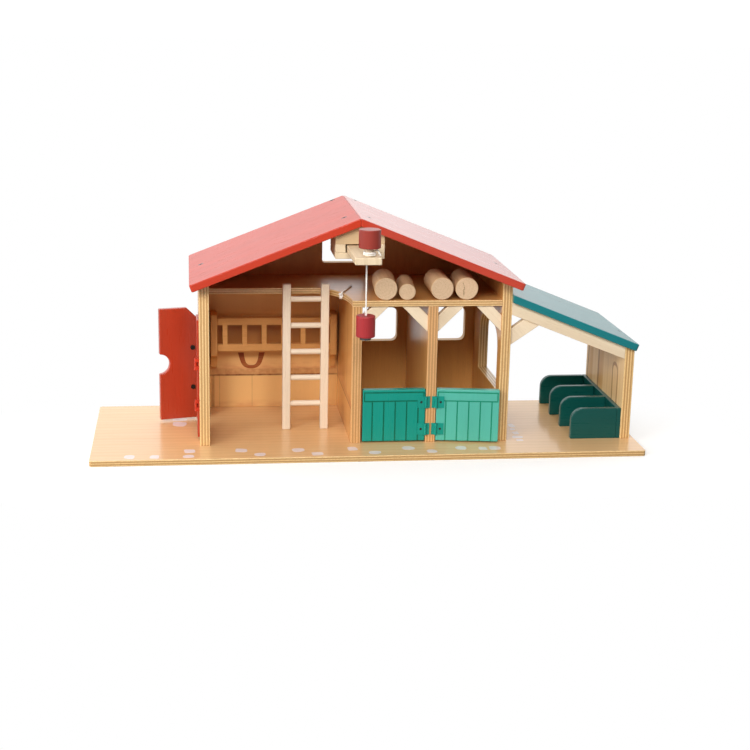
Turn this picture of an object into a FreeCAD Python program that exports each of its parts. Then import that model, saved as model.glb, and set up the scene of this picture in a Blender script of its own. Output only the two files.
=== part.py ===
import FreeCAD, Part
import math
import os

# Wooden toy barn: open front, ply walls, a hay loft with a crane, and a lean-to with cow cubicles.
# Millimetres and degrees. The layout starts at the front left corner of the left wall, where it
# stands on the base board: X runs to the right, Y to the back, Z up from the top of the board.
# Every piece is moved at the end, so that the origin lies under the middle of the whole toy.

# Sheets
wall_thickness = 10.0
roof_thickness = 7.5
base_thickness = 6.0
loft_thickness = 6.0
door_thickness = 6.0
gate_thickness = 8.0

# Barn
barn_width = 310.0
wall_depth = 139.0
ridge_height = 230.0
roof_pitch = 21.5
eave_overhang = 9.3
roof_front_overhang = 18.5
roof_corner_radius = 3.0
loft_headroom = 18.8
loft_recess = 66.0
loft_corner_reach = 32.0

# Base board
base_left_margin = 106.0
base_right_rim = 5.0
base_front_margin = 42.0
base_corner_radius = 3.0

# Doorway in the left wall, with two leaves
doorway_front = 22.0
doorway_width = 80.0
doorway_lintel = 39.9
doorway_chamfer = 10.0
door_floor_gap = 2.4
door_head_gap = 0.6
door_jamb_gap = 0.5
door_middle_gap = 1.2
door_proud = 2.0
door_notch_radius = 10.5
door_notch_height = 62.0
front_door_angle = 1.0
rear_door_angle = 76.0

# Openings in the right wall and the back wall
side_opening_front = 16.5
side_opening_back = 30.5
side_opening_drop = 27.5
side_opening_height = 62.5
side_opening_arch = 20.0
window_width = 44.0
window_drop = 30.5
window_height = 37.0
window_corner_radius = 6.5
hatch_width = 45.0
hatch_rise = 13.0
hatch_height = 38.0
hatch_corner_radius = 3.0

# Stall gates, hung on the stall divider
gate_height = 53.5
gate_floor_gap = 1.5
gate_hinge_gap = 0.5
gate_free_gap = 0.4
gate_band_height = 8.9
gate_band_inset = 1.0
gate_lip_height = 2.2
gate_first_plank_width = 9.6
gate_plank_width = 11.6
gate_groove_width = 1.3
gate_groove_depth = 0.6
gate_groove_count = 5
divider_shift = 0.8
right_gate_angle = 8.0

# Small butt hinges, their pins and the bolts that hold them
hinge_length = 12.0
hinge_plate_thickness = 0.8
hinge_plate_width = 8.0
divider_plate_width = 4.3
hinge_barrel_radius = 1.4
hinge_pin_radius = 0.7
hinge_pin_clearance = 0.05
hinge_knuckle_gap = 0.2
door_hinge_low_share = 0.298
door_hinge_high_share = 0.650
gate_hinge_low = 14.0
gate_hinge_high = 42.0
bolt_radius = 1.2
bolt_head_radius = 2.5
bolt_head_height = 0.8
bolt_socket_radius = 1.2
bolt_socket_depth = 0.5
bolt_setback = 4.5

# Diagonal braces under the loft and in the lean-to
brace_thickness = 8.0
brace_front_inset = 2.0
brace_near_reach = 10.0
brace_far_reach = 26.5
lean_brace_drop = 14.9
lean_brace_wall_width = 16.5
lean_brace_near_reach = 13.3
lean_brace_far_reach = 29.0

# Ladder on the loft's edge
ladder_side_gap = 17.9
ladder_width = 47.2
ladder_rise = 6.5
stile_width = 8.2
stile_depth = 8.0
ladder_gap = 0.25
rung_diameter = 5.8
rung_drop = 3.2
rung_bottom_height = 27.2
rung_count = 5
rung_socket = 4.0

# Hay rack on the back wall
rack_bracket_inset = 3.0
rack_bracket_thickness = 7.0
rack_drop = 32.8
rack_bracket_height = 60.0
rack_bracket_reach = 22.0
rack_bracket_foot = 9.0
rack_bracket_lip = 4.5
bracket_sweep_share = 0.65
rack_board_thickness = 4.0
rack_board_setback = 2.0
rack_board_drop = 4.2
rack_board_height = 35.5
rack_rail_height = 7.3
rack_slat_width = 5.0
rack_end_gap = 5.75
rack_slat_count = 6

# Lean-to
lean_roof_length = 132.7
lean_roof_drop = 8.9
lean_roof_front_overhang = 5.0
lean_eave_overhang = 3.7
rafter_depth = 13.0
rafter_thickness = 10.0
cubicle_height = 32.0
cubicle_length = 48.0
cubicle_thickness = 6.0
cubicle_count = 4
cubicle_front = 1.0
cubicle_panel_thickness = 4.0
cubicle_corner_radius = 12.0

# Crane in the gable: a block under the ridge, two rails and a plate guide a sliding arm
block_width = 48.0
block_length = 49.0
block_front = 12.0
block_drop = 26.0
channel_width = 28.0
guide_plate_thickness = 6.0
arm_width = 25.0
arm_thickness = 6.8
arm_head_gap = 1.2
arm_foot_gap = 0.2
arm_front = 80.0
arm_tail = 8.0
arm_stop_radius = 2.5
arm_stop_setback = 4.0
arm_stop_rise = 5.0

# Winch on the arm, with its cord and the magnet weight
knob_radius = 10.3
knob_height = 17.5
knob_edge = 0.8
knob_lift = 7.6
knob_setback = 10.6
knob_offset = 2.0
spindle_radius = 4.0
spindle_clearance = 0.06
spindle_socket = 9.0
spindle_end_play = 0.2
winch_screw_head_radius = 5.5
winch_screw_head_height = 1.5
winch_screw_radius = 1.5
winch_screw_length = 8.0
winch_recess_clearance = 0.6
winch_recess_depth = 2.2
cord_diameter = 1.6
cord_setback = 22.1
cord_offset = 1.0
cord_hole_radius = 1.6
cord_socket = 6.0
coil_turns = 1.5
coil_pitch = 2.25
coil_gap = 0.3
weight_radius = 9.15
weight_height = 20.7
weight_drop = 51.8
weight_edge = 1.2
magnet_radius = 5.5
magnet_height = 2.5
knot_radius = 2.2

# Tie cord on the loft, with its hole near the partition and a knot over the edge
tie_hole_inset = 6.0
tie_hole_setback = 4.0
tie_hole_radius = 1.5
tie_edge_turn = 57.9
tie_bend_radius = 1.2
tie_drop = 0.3
tie_knot_radius = 2.9
tie_knot_gap = 0.25

# Logs side by side on the loft: the share of the free width left of each, its turn and its diameter
log_gap = 0.2
log_edge = 0.8
log_large_diameter = 22.5
log_small_diameter = 16.4
log_length = 50.0
log_setback = 1.0
log_gap_shares = (0.206, 0.034, 0.276, 0.036)
log_turns = (4.0, 4.7, 0.5, 3.2)
log_diameters = (log_large_diameter, log_small_diameter, log_large_diameter, log_large_diameter)

# Roof and base screws
screw_head_radius = 2.9
screw_head_height = 1.8
screw_radius = 1.7
roof_screw_length = 14.0
base_screw_length = 22.0
screw_socket_radius = 1.3
screw_socket_depth = 1.0
eave_screw_setback = 3.0
ridge_screw_reach = 12.5
ridge_screw_front = 21.0
lean_screw_back = 48.0
base_screw_inset = 20.0
base_screw_front = 10.0
base_screw_side = 80.0

# Sanded edges
roof_softening = 1.0
sheet_softening = 0.6
leaf_softening = 0.9

# Cuts run past the faces that they open by this much
overrun = 5.0

# Places worked out from the sizes above
pitch = math.radians(roof_pitch)
ridge_x = barn_width / 2
barn_back = wall_depth + wall_thickness
right_inside = barn_width - wall_thickness
partition_left = ridge_x - wall_thickness / 2
partition_right = ridge_x + wall_thickness / 2
divider_left = (partition_right + right_inside - wall_thickness) / 2 + divider_shift
divider_right = divider_left + wall_thickness
roof_drop = roof_thickness / math.cos(pitch)
eave_height = ridge_height - roof_drop - math.tan(pitch) * ridge_x
loft_top = eave_height + math.tan(pitch) * wall_thickness - loft_headroom
loft_height = loft_top - loft_thickness
doorway_height = eave_height - doorway_lintel
lean_roof_height = eave_height - lean_roof_drop
lean_wall_right = barn_width + lean_roof_length - lean_eave_overhang
lean_wall_left = lean_wall_right - wall_thickness
base_right = lean_wall_right + base_right_rim
arm_middle = ridge_x
block_bottom = ridge_height - block_drop
channel_height = arm_head_gap + arm_thickness + arm_foot_gap
arm_top = block_bottom - arm_head_gap
arm_bottom = arm_top - arm_thickness
weight_top = arm_bottom - weight_drop
block_back = block_length - block_front
knob_x = arm_middle + knob_offset
knob_y = knob_setback - arm_front
cord_x = arm_middle + cord_offset
cord_y = cord_setback - arm_front
cord_radius = cord_diameter / 2
knob_bottom = arm_top + knob_lift
origin_x = (base_right - base_left_margin) / 2
origin_y = (barn_back - arm_front) / 2
up = FreeCAD.Vector(0, 0, 1)


def point(x, y, z):
    return FreeCAD.Vector(x, y, z)


def box(x0, x1, y0, y1, z0, z1):
    return Part.makeBox(x1 - x0, y1 - y0, z1 - z0, point(x0, y0, z0))


def prism(points, reach):
    """A flat outline of points, pushed along the vector reach."""
    return Part.Face(Part.makePolygon(points + points[:1])).extrude(reach)


def prism_along_x(outline, x0, x1):
    return prism([point(x0, y, z) for y, z in outline], point(x1 - x0, 0, 0))


def prism_along_y(outline, y0, y1):
    return prism([point(x, y0, z) for x, z in outline], point(0, y1 - y0, 0))


def rod(radius, start, end):
    """A round bar from start to end."""
    return Part.makeCylinder(radius, (end - start).Length, start, end - start)


def edges_along(shape, along):
    """The straight edges of shape that run along the direction given."""
    lines = [edge for edge in shape.Edges if isinstance(edge.Curve, Part.Line)]
    return [edge for edge in lines if edge.Curve.Direction.cross(along).Length < 1e-6]


def round_edges(shape, radius, along):
    return shape.makeFillet(radius, edges_along(shape, along))


def round_box(x0, x1, y0, y1, z0, z1, radius, along):
    return round_edges(box(x0, x1, y0, y1, z0, z1), radius, along)


def soften(shape, radius):
    """Take the sharpness off every edge of a sawn piece."""
    return shape.makeFillet(radius, shape.Edges)


def round_rims(shape, radius):
    """Round the circular rims of a turned piece."""
    rims = [edge for edge in shape.Edges if isinstance(edge.Curve, Part.Circle)]
    return shape.makeFillet(radius, rims)


def roof_under(x):
    """Height of the barn roof's underside."""
    return ridge_height - roof_drop - math.tan(pitch) * abs(x - ridge_x)


def lean_top(x):
    """Height of the lean-to roof's upper face."""
    return lean_roof_height - math.tan(pitch) * (x - barn_width)


def lean_under(x):
    return lean_top(x) - roof_drop


def roof_top(x):
    return ridge_height - math.tan(pitch) * abs(x - ridge_x)


# Barn shell

tie_hole_x = partition_left + tie_hole_inset
tie_hole_y = loft_recess + tie_hole_setback


def base_board():
    board = round_box(
        -base_left_margin, base_right,
        -base_front_margin, barn_back,
        -base_thickness, 0,
        base_corner_radius, up,
    )
    return soften(board, sheet_softening)


def left_wall():
    wall = prism_along_y(
        [(0, 0), (wall_thickness, 0), (wall_thickness, roof_under(wall_thickness)), (0, roof_under(0))],
        0, wall_depth,
    )
    back = doorway_front + doorway_width
    shoulder = doorway_height - doorway_chamfer
    doorway = prism_along_x(
        [
            (doorway_front, -overrun),
            (back, -overrun),
            (back, shoulder),
            (back - doorway_chamfer, doorway_height),
            (doorway_front + doorway_chamfer, doorway_height),
            (doorway_front, shoulder),
        ],
        -overrun, wall_thickness + overrun,
    )
    return soften(wall.cut(doorway), sheet_softening)


def right_wall():
    wall = prism_along_y(
        [
            (right_inside, 0),
            (barn_width, 0),
            (barn_width, roof_under(barn_width)),
            (right_inside, roof_under(right_inside)),
        ],
        0, wall_depth,
    )
    top = loft_height - side_opening_drop
    sill = top - side_opening_height
    opening = box(
        right_inside - overrun, barn_width + overrun,
        side_opening_front, wall_depth - side_opening_back,
        sill, top,
    )
    corners = [edge for edge in edges_along(opening, point(1, 0, 0)) if edge.CenterOfMass.z > sill]
    opening = opening.makeFillet(side_opening_arch, corners)
    return soften(wall.cut(opening), sheet_softening)


def back_opening(middle, width, sill, height, corner_radius):
    return round_box(
        middle - width / 2, middle + width / 2,
        wall_depth - overrun, barn_back + overrun,
        sill, sill + height,
        corner_radius, point(0, 1, 0),
    )


def back_wall():
    gable = [
        (0, 0),
        (barn_width, 0),
        (barn_width, roof_under(barn_width)),
        (ridge_x, roof_under(ridge_x)),
        (0, roof_under(0)),
    ]
    wall = prism_along_y(gable, wall_depth, barn_back)
    sill = loft_height - window_drop - window_height
    for middle in ((partition_right + divider_left) / 2, (divider_right + right_inside) / 2):
        wall = wall.cut(back_opening(middle, window_width, sill, window_height, window_corner_radius))
    hatch_sill = loft_top + hatch_rise
    hatch = back_opening(ridge_x, hatch_width, hatch_sill, hatch_height, hatch_corner_radius)
    return soften(wall.cut(hatch), sheet_softening)


def upright(left):
    """A full-depth ply upright that carries the loft."""
    return soften(box(left, left + wall_thickness, 0, wall_depth, 0, loft_height), sheet_softening)


loft_corner_x = partition_left - loft_corner_reach


def loft_edge_y(x):
    """Where the loft's recessed edge lies, straight from the left and curved to the front at the right."""
    turn = max(x - loft_corner_x, 0) / loft_corner_reach
    return loft_recess * math.sqrt(1 - turn ** 2)


def loft_floor():
    corner = point(loft_corner_x, 0, loft_height)
    ellipse = Part.Ellipse(corner + point(0, loft_recess, 0), corner + point(loft_corner_reach, 0, 0), corner)
    arc = Part.ArcOfEllipse(ellipse, 0, math.pi / 2)
    start = [
        point(partition_left, 0, loft_height),
        point(right_inside, 0, loft_height),
        point(right_inside, wall_depth, loft_height),
        point(wall_thickness, wall_depth, loft_height),
        point(wall_thickness, loft_recess, loft_height),
        point(loft_corner_x, loft_recess, loft_height),
    ]
    outline = Part.Wire(Part.makePolygon(start).Edges + [arc.toShape()])
    floor = soften(Part.Face(outline).extrude(point(0, 0, loft_thickness)), sheet_softening)
    hole = Part.makeCylinder(
        tie_hole_radius, loft_thickness + 2 * overrun, point(tie_hole_x, tie_hole_y, loft_height - overrun)
    )
    return floor.cut(hole)


# Roof screws stand square to the slope, with their heads sunk flush

def roof_screw_frame(x, y):
    """Where a screw's head lies in the roof's upper face, its direction inward and its length."""
    side = 1 if x > ridge_x else -1
    height = lean_top(x) if x > barn_width else roof_top(x)
    inward = point(-side * math.sin(pitch), 0, -math.cos(pitch))
    return point(x, y, height), inward, roof_screw_length


def screw(head, inward, length):
    body = rod(screw_head_radius, head, head + inward * screw_head_height)
    body = body.fuse(rod(screw_radius, head, head + inward * length))
    socket = rod(screw_socket_radius, head, head + inward * screw_socket_depth)
    return body.cut(socket)


def screw_bore(head, inward, length):
    """The room that a screw takes in the pieces it goes through."""
    bore = rod(screw_head_radius, head - inward * overrun, head + inward * screw_head_height)
    return bore.fuse(rod(screw_radius, head, head + inward * length))


def roof_screw_places():
    middle = wall_depth / 2
    back = wall_depth + wall_thickness / 2
    places = [(eave_screw_setback, middle), (barn_width - eave_screw_setback, middle)]
    for x in (ridge_x - ridge_screw_reach, ridge_x + ridge_screw_reach):
        places += [(x, ridge_screw_front), (x, back)]
    return places + [(lean_wall_left + wall_thickness - eave_screw_setback, lean_screw_back)]


roof_screw_frames = [roof_screw_frame(x, y) for x, y in roof_screw_places()]


def base_screw_places():
    """Two screws come up through the base board into each wall and upright."""
    middles = [wall_thickness / 2, ridge_x, divider_left + wall_thickness / 2]
    middles += [barn_width - wall_thickness / 2, lean_wall_left + wall_thickness / 2]
    places = [(x, y) for x in middles for y in (base_screw_front, wall_depth - base_screw_inset)]
    back = wall_depth + wall_thickness / 2
    return places + [(base_screw_side, back), (barn_width - base_screw_side, back)]


base_screw_frames = [
    (point(x, y, -base_thickness), up, base_screw_length) for x, y in base_screw_places()
]


def drilled(shape, frames):
    for frame in frames:
        bore = screw_bore(*frame)
        if shape.BoundBox.intersect(bore.BoundBox):
            shape = shape.cut(bore)
    return shape


def screws(frames):
    return Part.makeCompound([screw(*frame) for frame in frames])


def roof_panel(side):
    """One barn roof panel; side is -1 on the left and 1 on the right."""
    eave = ridge_x + side * (ridge_x + eave_overhang)
    lower_x = eave - side * roof_thickness * math.sin(pitch)
    lower_z = roof_top(eave) - roof_thickness * math.cos(pitch)
    panel = prism_along_y(
        [(ridge_x, ridge_height), (eave, roof_top(eave)), (lower_x, lower_z), (ridge_x, roof_under(ridge_x))],
        -roof_front_overhang, barn_back,
    )
    return soft_panel(panel, side)


def soft_panel(panel, side):
    """A roof panel with round corners in plan and sanded edges."""
    upright_way = point(side * math.sin(pitch), 0, math.cos(pitch))
    return soften(round_edges(panel, roof_corner_radius, upright_way), roof_softening)


# Doors and gates on butt hinges

class Hinge:
    """A small butt hinge with its pin upright.

    The fixed plate lies on the post and the moving plate on the leaf. Plates point away from the
    pin: along is the direction from the post to the leaf, out points away from the leaf's face.
    """

    def __init__(self, pin_x, pin_y, along, out, post_plate_width, post_step):
        self.pin_x = pin_x
        self.pin_y = pin_y
        self.along = along
        self.out = out
        self.post_plate_width = post_plate_width
        self.post_step = post_step

    def knuckle(self, z0, z1, bore):
        start = point(self.pin_x, self.pin_y, z0)
        end = point(self.pin_x, self.pin_y, z1)
        return rod(hinge_barrel_radius, start, end).cut(rod(bore, start, end))

    def plate(self, reach, depth, z0, z1):
        """A plate that reaches out from the pin, on a face that lies depth behind the pin."""
        near = point(self.pin_x, self.pin_y, z0) - self.out * depth
        far = near + reach + self.out * hinge_plate_thickness
        return corner_box(near, far, z1)

    def web(self, depth, z0, z1):
        """The bend that carries a knuckle out from a plate on a face set further back."""
        near = point(self.pin_x, self.pin_y, z0) - self.out * depth - self.along * hinge_barrel_radius
        far = near + self.along * hinge_plate_thickness + self.out * depth
        return corner_box(near, far, z1)

    def parts(self, middle):
        """Fixed half, moving half and pin of the hinge whose middle is at this height."""
        low = middle - hinge_length / 2
        high = middle + hinge_length / 2
        first = low + hinge_length / 3
        second = high - hinge_length / 3
        running = hinge_pin_radius + hinge_pin_clearance
        depth = hinge_barrel_radius
        fixed = self.plate(self.along * -self.post_plate_width, depth + self.post_step, low, high)
        for z0, z1 in ((low, first), (second, high)):
            web = self.web(depth + self.post_step, z0, z1)
            fixed = fixed.fuse([self.knuckle(z0, z1, hinge_pin_radius), web])
        moving = self.plate(self.along * hinge_plate_width, depth, low, high)
        for z0, z1 in ((low, first), (second, high)):
            moving = moving.cut(self.clearance(z0 - hinge_knuckle_gap, z1 + hinge_knuckle_gap))
        tongue = (first + hinge_knuckle_gap, second - hinge_knuckle_gap)
        moving = moving.fuse(self.knuckle(*tongue, running))
        start = point(self.pin_x, self.pin_y, low)
        end = point(self.pin_x, self.pin_y, high)
        pin = rod(hinge_pin_radius, start, end)
        hole = rod(hinge_pin_radius, start, end)
        clear = self.clearance(first, second)
        fixed = fixed.cut([hole, clear])
        moving = moving.cut(rod(running, start, end))
        return fixed, moving, pin

    def clearance(self, z0, z1):
        start = point(self.pin_x, self.pin_y, z0)
        end = point(self.pin_x, self.pin_y, z1)
        return rod(hinge_barrel_radius + hinge_knuckle_gap, start, end)

    def bolt(self, middle, thickness):
        """A bolt from the leaf's other face, through the leaf and the moving plate."""
        face = point(self.pin_x, self.pin_y, middle) + self.along * bolt_setback
        plate = face - self.out * (hinge_barrel_radius - hinge_plate_thickness)
        inside = face - self.out * (hinge_barrel_radius + thickness)
        head_top = inside - self.out * bolt_head_height
        bolt = rod(bolt_head_radius, head_top, inside).fuse(rod(bolt_radius, inside, plate))
        return bolt.cut(rod(bolt_socket_radius, head_top, head_top + self.out * bolt_socket_depth))

    def bolt_bore(self, middle, thickness):
        face = point(self.pin_x, self.pin_y, middle) + self.along * bolt_setback
        inside = face - self.out * (hinge_barrel_radius + thickness + overrun)
        return rod(bolt_radius, inside, face + self.out * overrun)


def corner_box(near, far, top):
    return box(
        min(near.x, far.x), max(near.x, far.x),
        min(near.y, far.y), max(near.y, far.y),
        near.z, top,
    )


def hung_leaf(leaf, hinge, heights, thickness):
    """A leaf with its bolt holes, moving hinge halves and bolts, and the halves and pins that stay."""
    fixed, moving, pins, bolts = [], [], [], []
    for height in heights:
        half, flap, pin = hinge.parts(height)
        bore = hinge.bolt_bore(height, thickness)
        leaf = leaf.cut(bore)
        fixed.append(half)
        moving.append(flap.cut(bore))
        pins.append(pin)
        bolts.append(hinge.bolt(height, thickness))
    return leaf, fixed, moving, pins, bolts


door_hinge_x = -door_proud - hinge_barrel_radius
door_width = (doorway_width - door_middle_gap) / 2 - door_jamb_gap
door_top = doorway_height - door_head_gap
doorway_back = doorway_front + doorway_width
outward = point(-1, 0, 0)
front_hinge = Hinge(
    door_hinge_x, doorway_front + door_jamb_gap / 2, point(0, 1, 0), outward, hinge_plate_width, door_proud
)
rear_hinge = Hinge(
    door_hinge_x, doorway_back - door_jamb_gap / 2, point(0, -1, 0), outward, hinge_plate_width, door_proud
)


def door_leaf(hinge_edge, direction):
    """A closed leaf: its outer top corner is cut off and half a round hole opens its free edge."""
    free_edge = hinge_edge + direction * door_width
    shoulder = door_top - doorway_chamfer
    leaf = prism_along_x(
        [
            (hinge_edge, door_floor_gap),
            (free_edge, door_floor_gap),
            (free_edge, door_top),
            (hinge_edge + direction * doorway_chamfer, door_top),
            (hinge_edge, shoulder),
        ],
        -door_proud, door_thickness - door_proud,
    )
    notch = rod(
        door_notch_radius,
        point(-door_proud - overrun, free_edge, door_notch_height),
        point(door_thickness - door_proud + overrun, free_edge, door_notch_height),
    )
    return soften(leaf.cut(notch), leaf_softening)


def swung(shape, hinge, angle):
    """A leaf piece as it stands, turned about its hinge pin."""
    turned = shape.copy()
    turned.rotate(point(hinge.pin_x, hinge.pin_y, 0), up, angle)
    return turned


divider_front_plane = 0
gate_pin_y = divider_front_plane - hinge_barrel_radius
toward_viewer = point(0, -1, 0)
left_gate_hinge = Hinge(
    divider_left - gate_hinge_gap / 2, gate_pin_y, point(-1, 0, 0), toward_viewer, divider_plate_width, 0
)
right_gate_hinge = Hinge(
    divider_right + gate_hinge_gap / 2, gate_pin_y, point(1, 0, 0), toward_viewer, divider_plate_width, 0
)


gate_length = right_inside - divider_right - gate_hinge_gap - gate_free_gap


def gate(hinge_edge, direction):
    """A closed gate board, scored like planks under a framed rail."""
    low_x, high_x = sorted((hinge_edge, hinge_edge + direction * gate_length))
    top = gate_floor_gap + gate_height
    board = soften(box(low_x, high_x, 0, gate_thickness, gate_floor_gap, top), leaf_softening)
    band_top = top - gate_lip_height
    band = band_top - gate_band_height
    left = low_x + gate_band_inset
    right = high_x - gate_band_inset
    frame = box(left, right, -overrun, gate_groove_depth, band - gate_groove_width, band_top)
    rail = box(
        left + gate_groove_width, right - gate_groove_width,
        -2 * overrun, gate_groove_depth + overrun,
        band, band_top - gate_groove_width,
    )
    board = board.cut(frame.cut(rail))
    for index in range(gate_groove_count):
        x = low_x + gate_first_plank_width + index * gate_plank_width
        board = board.cut(
            box(x - gate_groove_width / 2, x + gate_groove_width / 2, -overrun, gate_groove_depth,
                gate_floor_gap - overrun, band - gate_groove_width / 2)
        )
    return board


# Braces, ladder and hay rack

def stall_brace(post, direction):
    """A diagonal strut from the side of a post to the loft's underside."""
    outline = [
        (post + direction * brace_near_reach, loft_height),
        (post + direction * brace_far_reach, loft_height),
        (post, loft_height - brace_far_reach),
        (post, loft_height - brace_near_reach),
    ]
    strut = prism_along_y(outline, brace_front_inset, brace_front_inset + brace_thickness)
    return soften(strut, sheet_softening)


def stall_braces():
    return Part.makeCompound([
        stall_brace(partition_right, 1),
        stall_brace(divider_left, -1),
        stall_brace(divider_right, 1),
        stall_brace(right_inside, -1),
    ])


ladder_left = partition_left - ladder_side_gap - ladder_width
ladder_back = loft_edge_y(ladder_left + ladder_width) - ladder_gap
ladder_front = ladder_back - stile_depth
rung_y = (ladder_front + ladder_back) / 2


def rung_line(index):
    top = loft_height - rung_drop
    height = top - index * (top - rung_bottom_height) / (rung_count - 1)
    start = point(ladder_left + stile_width - rung_socket, rung_y, height)
    end = point(ladder_left + ladder_width - stile_width + rung_socket, rung_y, height)
    return start, end


def ladder_rungs():
    return Part.makeCompound([rod(rung_diameter / 2, *rung_line(index)) for index in range(rung_count)])


def ladder_stile(left):
    stile = box(left, left + stile_width, ladder_front, ladder_back, 0, loft_top + ladder_rise)
    stile = soften(stile, leaf_softening)
    for index in range(rung_count):
        stile = stile.cut(rod(rung_diameter / 2, *rung_line(index)))
    return stile


rack_left = wall_thickness + rack_bracket_inset
rack_right = partition_left - rack_bracket_inset
rack_front = wall_depth - rack_bracket_reach
rack_bracket_top = loft_height - rack_drop
rack_bracket_bottom = rack_bracket_top - rack_bracket_height
rack_board_top = rack_bracket_top - rack_board_drop
rack_board_bottom = rack_board_top - rack_board_height


def rack_bracket(left):
    """A bracket whose front edge sweeps in below the rack board."""
    foot = wall_depth - rack_bracket_foot
    lip = rack_board_bottom - rack_bracket_lip
    middle_y = rack_front + (foot - rack_front) * bracket_sweep_share
    middle_z = rack_bracket_bottom + (lip - rack_bracket_bottom) * bracket_sweep_share
    corners = [
        point(left, rack_front, lip),
        point(left, rack_front, rack_bracket_top),
        point(left, wall_depth, rack_bracket_top),
        point(left, wall_depth, rack_bracket_bottom),
        point(left, foot, rack_bracket_bottom),
    ]
    sweep = Part.Arc(corners[-1], point(left, middle_y, middle_z), corners[0])
    outline = Part.Wire(Part.makePolygon(corners).Edges + [sweep.toShape()])
    return soften(Part.Face(outline).extrude(point(rack_bracket_thickness, 0, 0)), sheet_softening)


def rack_board():
    """The rack's front: one board with a row of openings between upright slats."""
    left = rack_left + rack_bracket_thickness
    right = rack_right - rack_bracket_thickness
    front = rack_front + rack_board_setback
    board = box(left, right, front, front + rack_board_thickness, rack_board_bottom, rack_board_top)
    slat_pitch = (right - left - 2 * rack_end_gap - rack_slat_width) / (rack_slat_count - 1)
    slats = [left + rack_end_gap + index * slat_pitch for index in range(rack_slat_count)]
    starts = [left] + [slat + rack_slat_width for slat in slats]
    for start, end in zip(starts, slats + [right]):
        board = board.cut(
            box(start, end, front - overrun, front + rack_board_thickness + overrun,
                rack_board_bottom + rack_rail_height, rack_board_top - rack_rail_height)
        )
    return board


# Lean-to

def lean_to_roof():
    end = barn_width + lean_roof_length
    lower_x = end - roof_thickness * math.sin(pitch)
    lower_z = lean_top(end) - roof_thickness * math.cos(pitch)
    panel = prism_along_y(
        [(barn_width, lean_roof_height), (end, lean_top(end)), (lower_x, lower_z),
         (barn_width, lean_under(barn_width))],
        -lean_roof_front_overhang, barn_back,
    )
    return soft_panel(panel, 1)


def lean_to_wall():
    outline = [(lean_wall_left, 0), (lean_wall_right, 0), (lean_wall_right, lean_under(lean_wall_right))]
    outline.append((lean_wall_left, lean_under(lean_wall_left)))
    return soften(prism_along_y(outline, 0, wall_depth), sheet_softening)


def lean_to_rafter():
    outline = [
        (barn_width, lean_under(barn_width)),
        (lean_wall_left, lean_under(lean_wall_left)),
        (lean_wall_left, lean_under(lean_wall_left) - rafter_depth),
        (barn_width, lean_under(barn_width) - rafter_depth),
    ]
    return soften(prism_along_y(outline, 0, rafter_thickness), sheet_softening)


def lean_to_brace():
    near = barn_width + lean_brace_near_reach
    far = barn_width + lean_brace_far_reach
    top = lean_under(barn_width) - rafter_depth - lean_brace_drop
    outline = [
        (barn_width, top - lean_brace_wall_width),
        (far, lean_under(far) - rafter_depth),
        (near, lean_under(near) - rafter_depth),
        (barn_width, top),
    ]
    strut = prism_along_y(outline, brace_front_inset, brace_front_inset + brace_thickness)
    return soften(strut, sheet_softening)


cubicle_pitch = (wall_depth - cubicle_front - cubicle_thickness) / (cubicle_count - 1)


def cubicle_panel():
    panel = box(
        lean_wall_left - cubicle_panel_thickness, lean_wall_left,
        cubicle_front, wall_depth, 0, cubicle_height,
    )
    return soften(panel, sheet_softening)


def cubicle_divider(front):
    """A low divider with a rounded top corner at its free end."""
    right = lean_wall_left - cubicle_panel_thickness
    left = right - cubicle_length
    slant = cubicle_corner_radius * (1 - math.sqrt(0.5))
    corners = [
        point(left + cubicle_corner_radius, front, cubicle_height),
        point(right, front, cubicle_height),
        point(right, front, 0),
        point(left, front, 0),
        point(left, front, cubicle_height - cubicle_corner_radius),
    ]
    bend = Part.Arc(corners[-1], point(left + slant, front, cubicle_height - slant), corners[0])
    outline = Part.Wire(Part.makePolygon(corners).Edges + [bend.toShape()])
    return soften(Part.Face(outline).extrude(point(0, cubicle_thickness, 0)), leaf_softening)


def cubicle_dividers():
    fronts = [cubicle_front + index * cubicle_pitch for index in range(cubicle_count)]
    return Part.makeCompound([cubicle_divider(front) for front in fronts])


# Crane

def ridge_block():
    left = ridge_x - block_width / 2
    right = ridge_x + block_width / 2
    outline = [
        (left, block_bottom),
        (right, block_bottom),
        (right, roof_under(right)),
        (ridge_x, roof_under(ridge_x)),
        (left, roof_under(left)),
    ]
    return soften(prism_along_y(outline, -block_front, block_back), sheet_softening)


def hoist_rails():
    low = block_bottom - channel_height
    left = ridge_x - block_width / 2
    right = ridge_x + block_width / 2
    rails = [
        box(left, ridge_x - channel_width / 2, -block_front, block_back, low, block_bottom),
        box(ridge_x + channel_width / 2, right, -block_front, block_back, low, block_bottom),
    ]
    return Part.makeCompound([soften(rail, sheet_softening) for rail in rails])


def hoist_guide_plate():
    high = block_bottom - channel_height
    plate = box(
        ridge_x - block_width / 2, ridge_x + block_width / 2,
        -block_front, block_back, high - guide_plate_thickness, high,
    )
    return soften(plate, sheet_softening)


arm_stop_y = block_back + arm_tail - arm_stop_setback


def hoist_arm():
    arm = box(
        arm_middle - arm_width / 2, arm_middle + arm_width / 2,
        -arm_front, block_back + arm_tail, arm_bottom, arm_top,
    )
    arm = soften(arm, leaf_softening)
    low = arm_bottom - overrun
    through = arm_thickness + 2 * overrun
    recess_radius = winch_screw_head_radius + winch_recess_clearance
    arm = arm.cut([
        Part.makeCylinder(spindle_radius + spindle_clearance, through, point(knob_x, knob_y, low)),
        Part.makeCylinder(recess_radius, overrun + winch_recess_depth, point(knob_x, knob_y, low)),
        Part.makeCylinder(cord_hole_radius, through, point(cord_x, cord_y, low)),
        Part.makeCylinder(arm_stop_radius, through, point(arm_middle, arm_stop_y, low)),
    ])
    return arm


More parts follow.
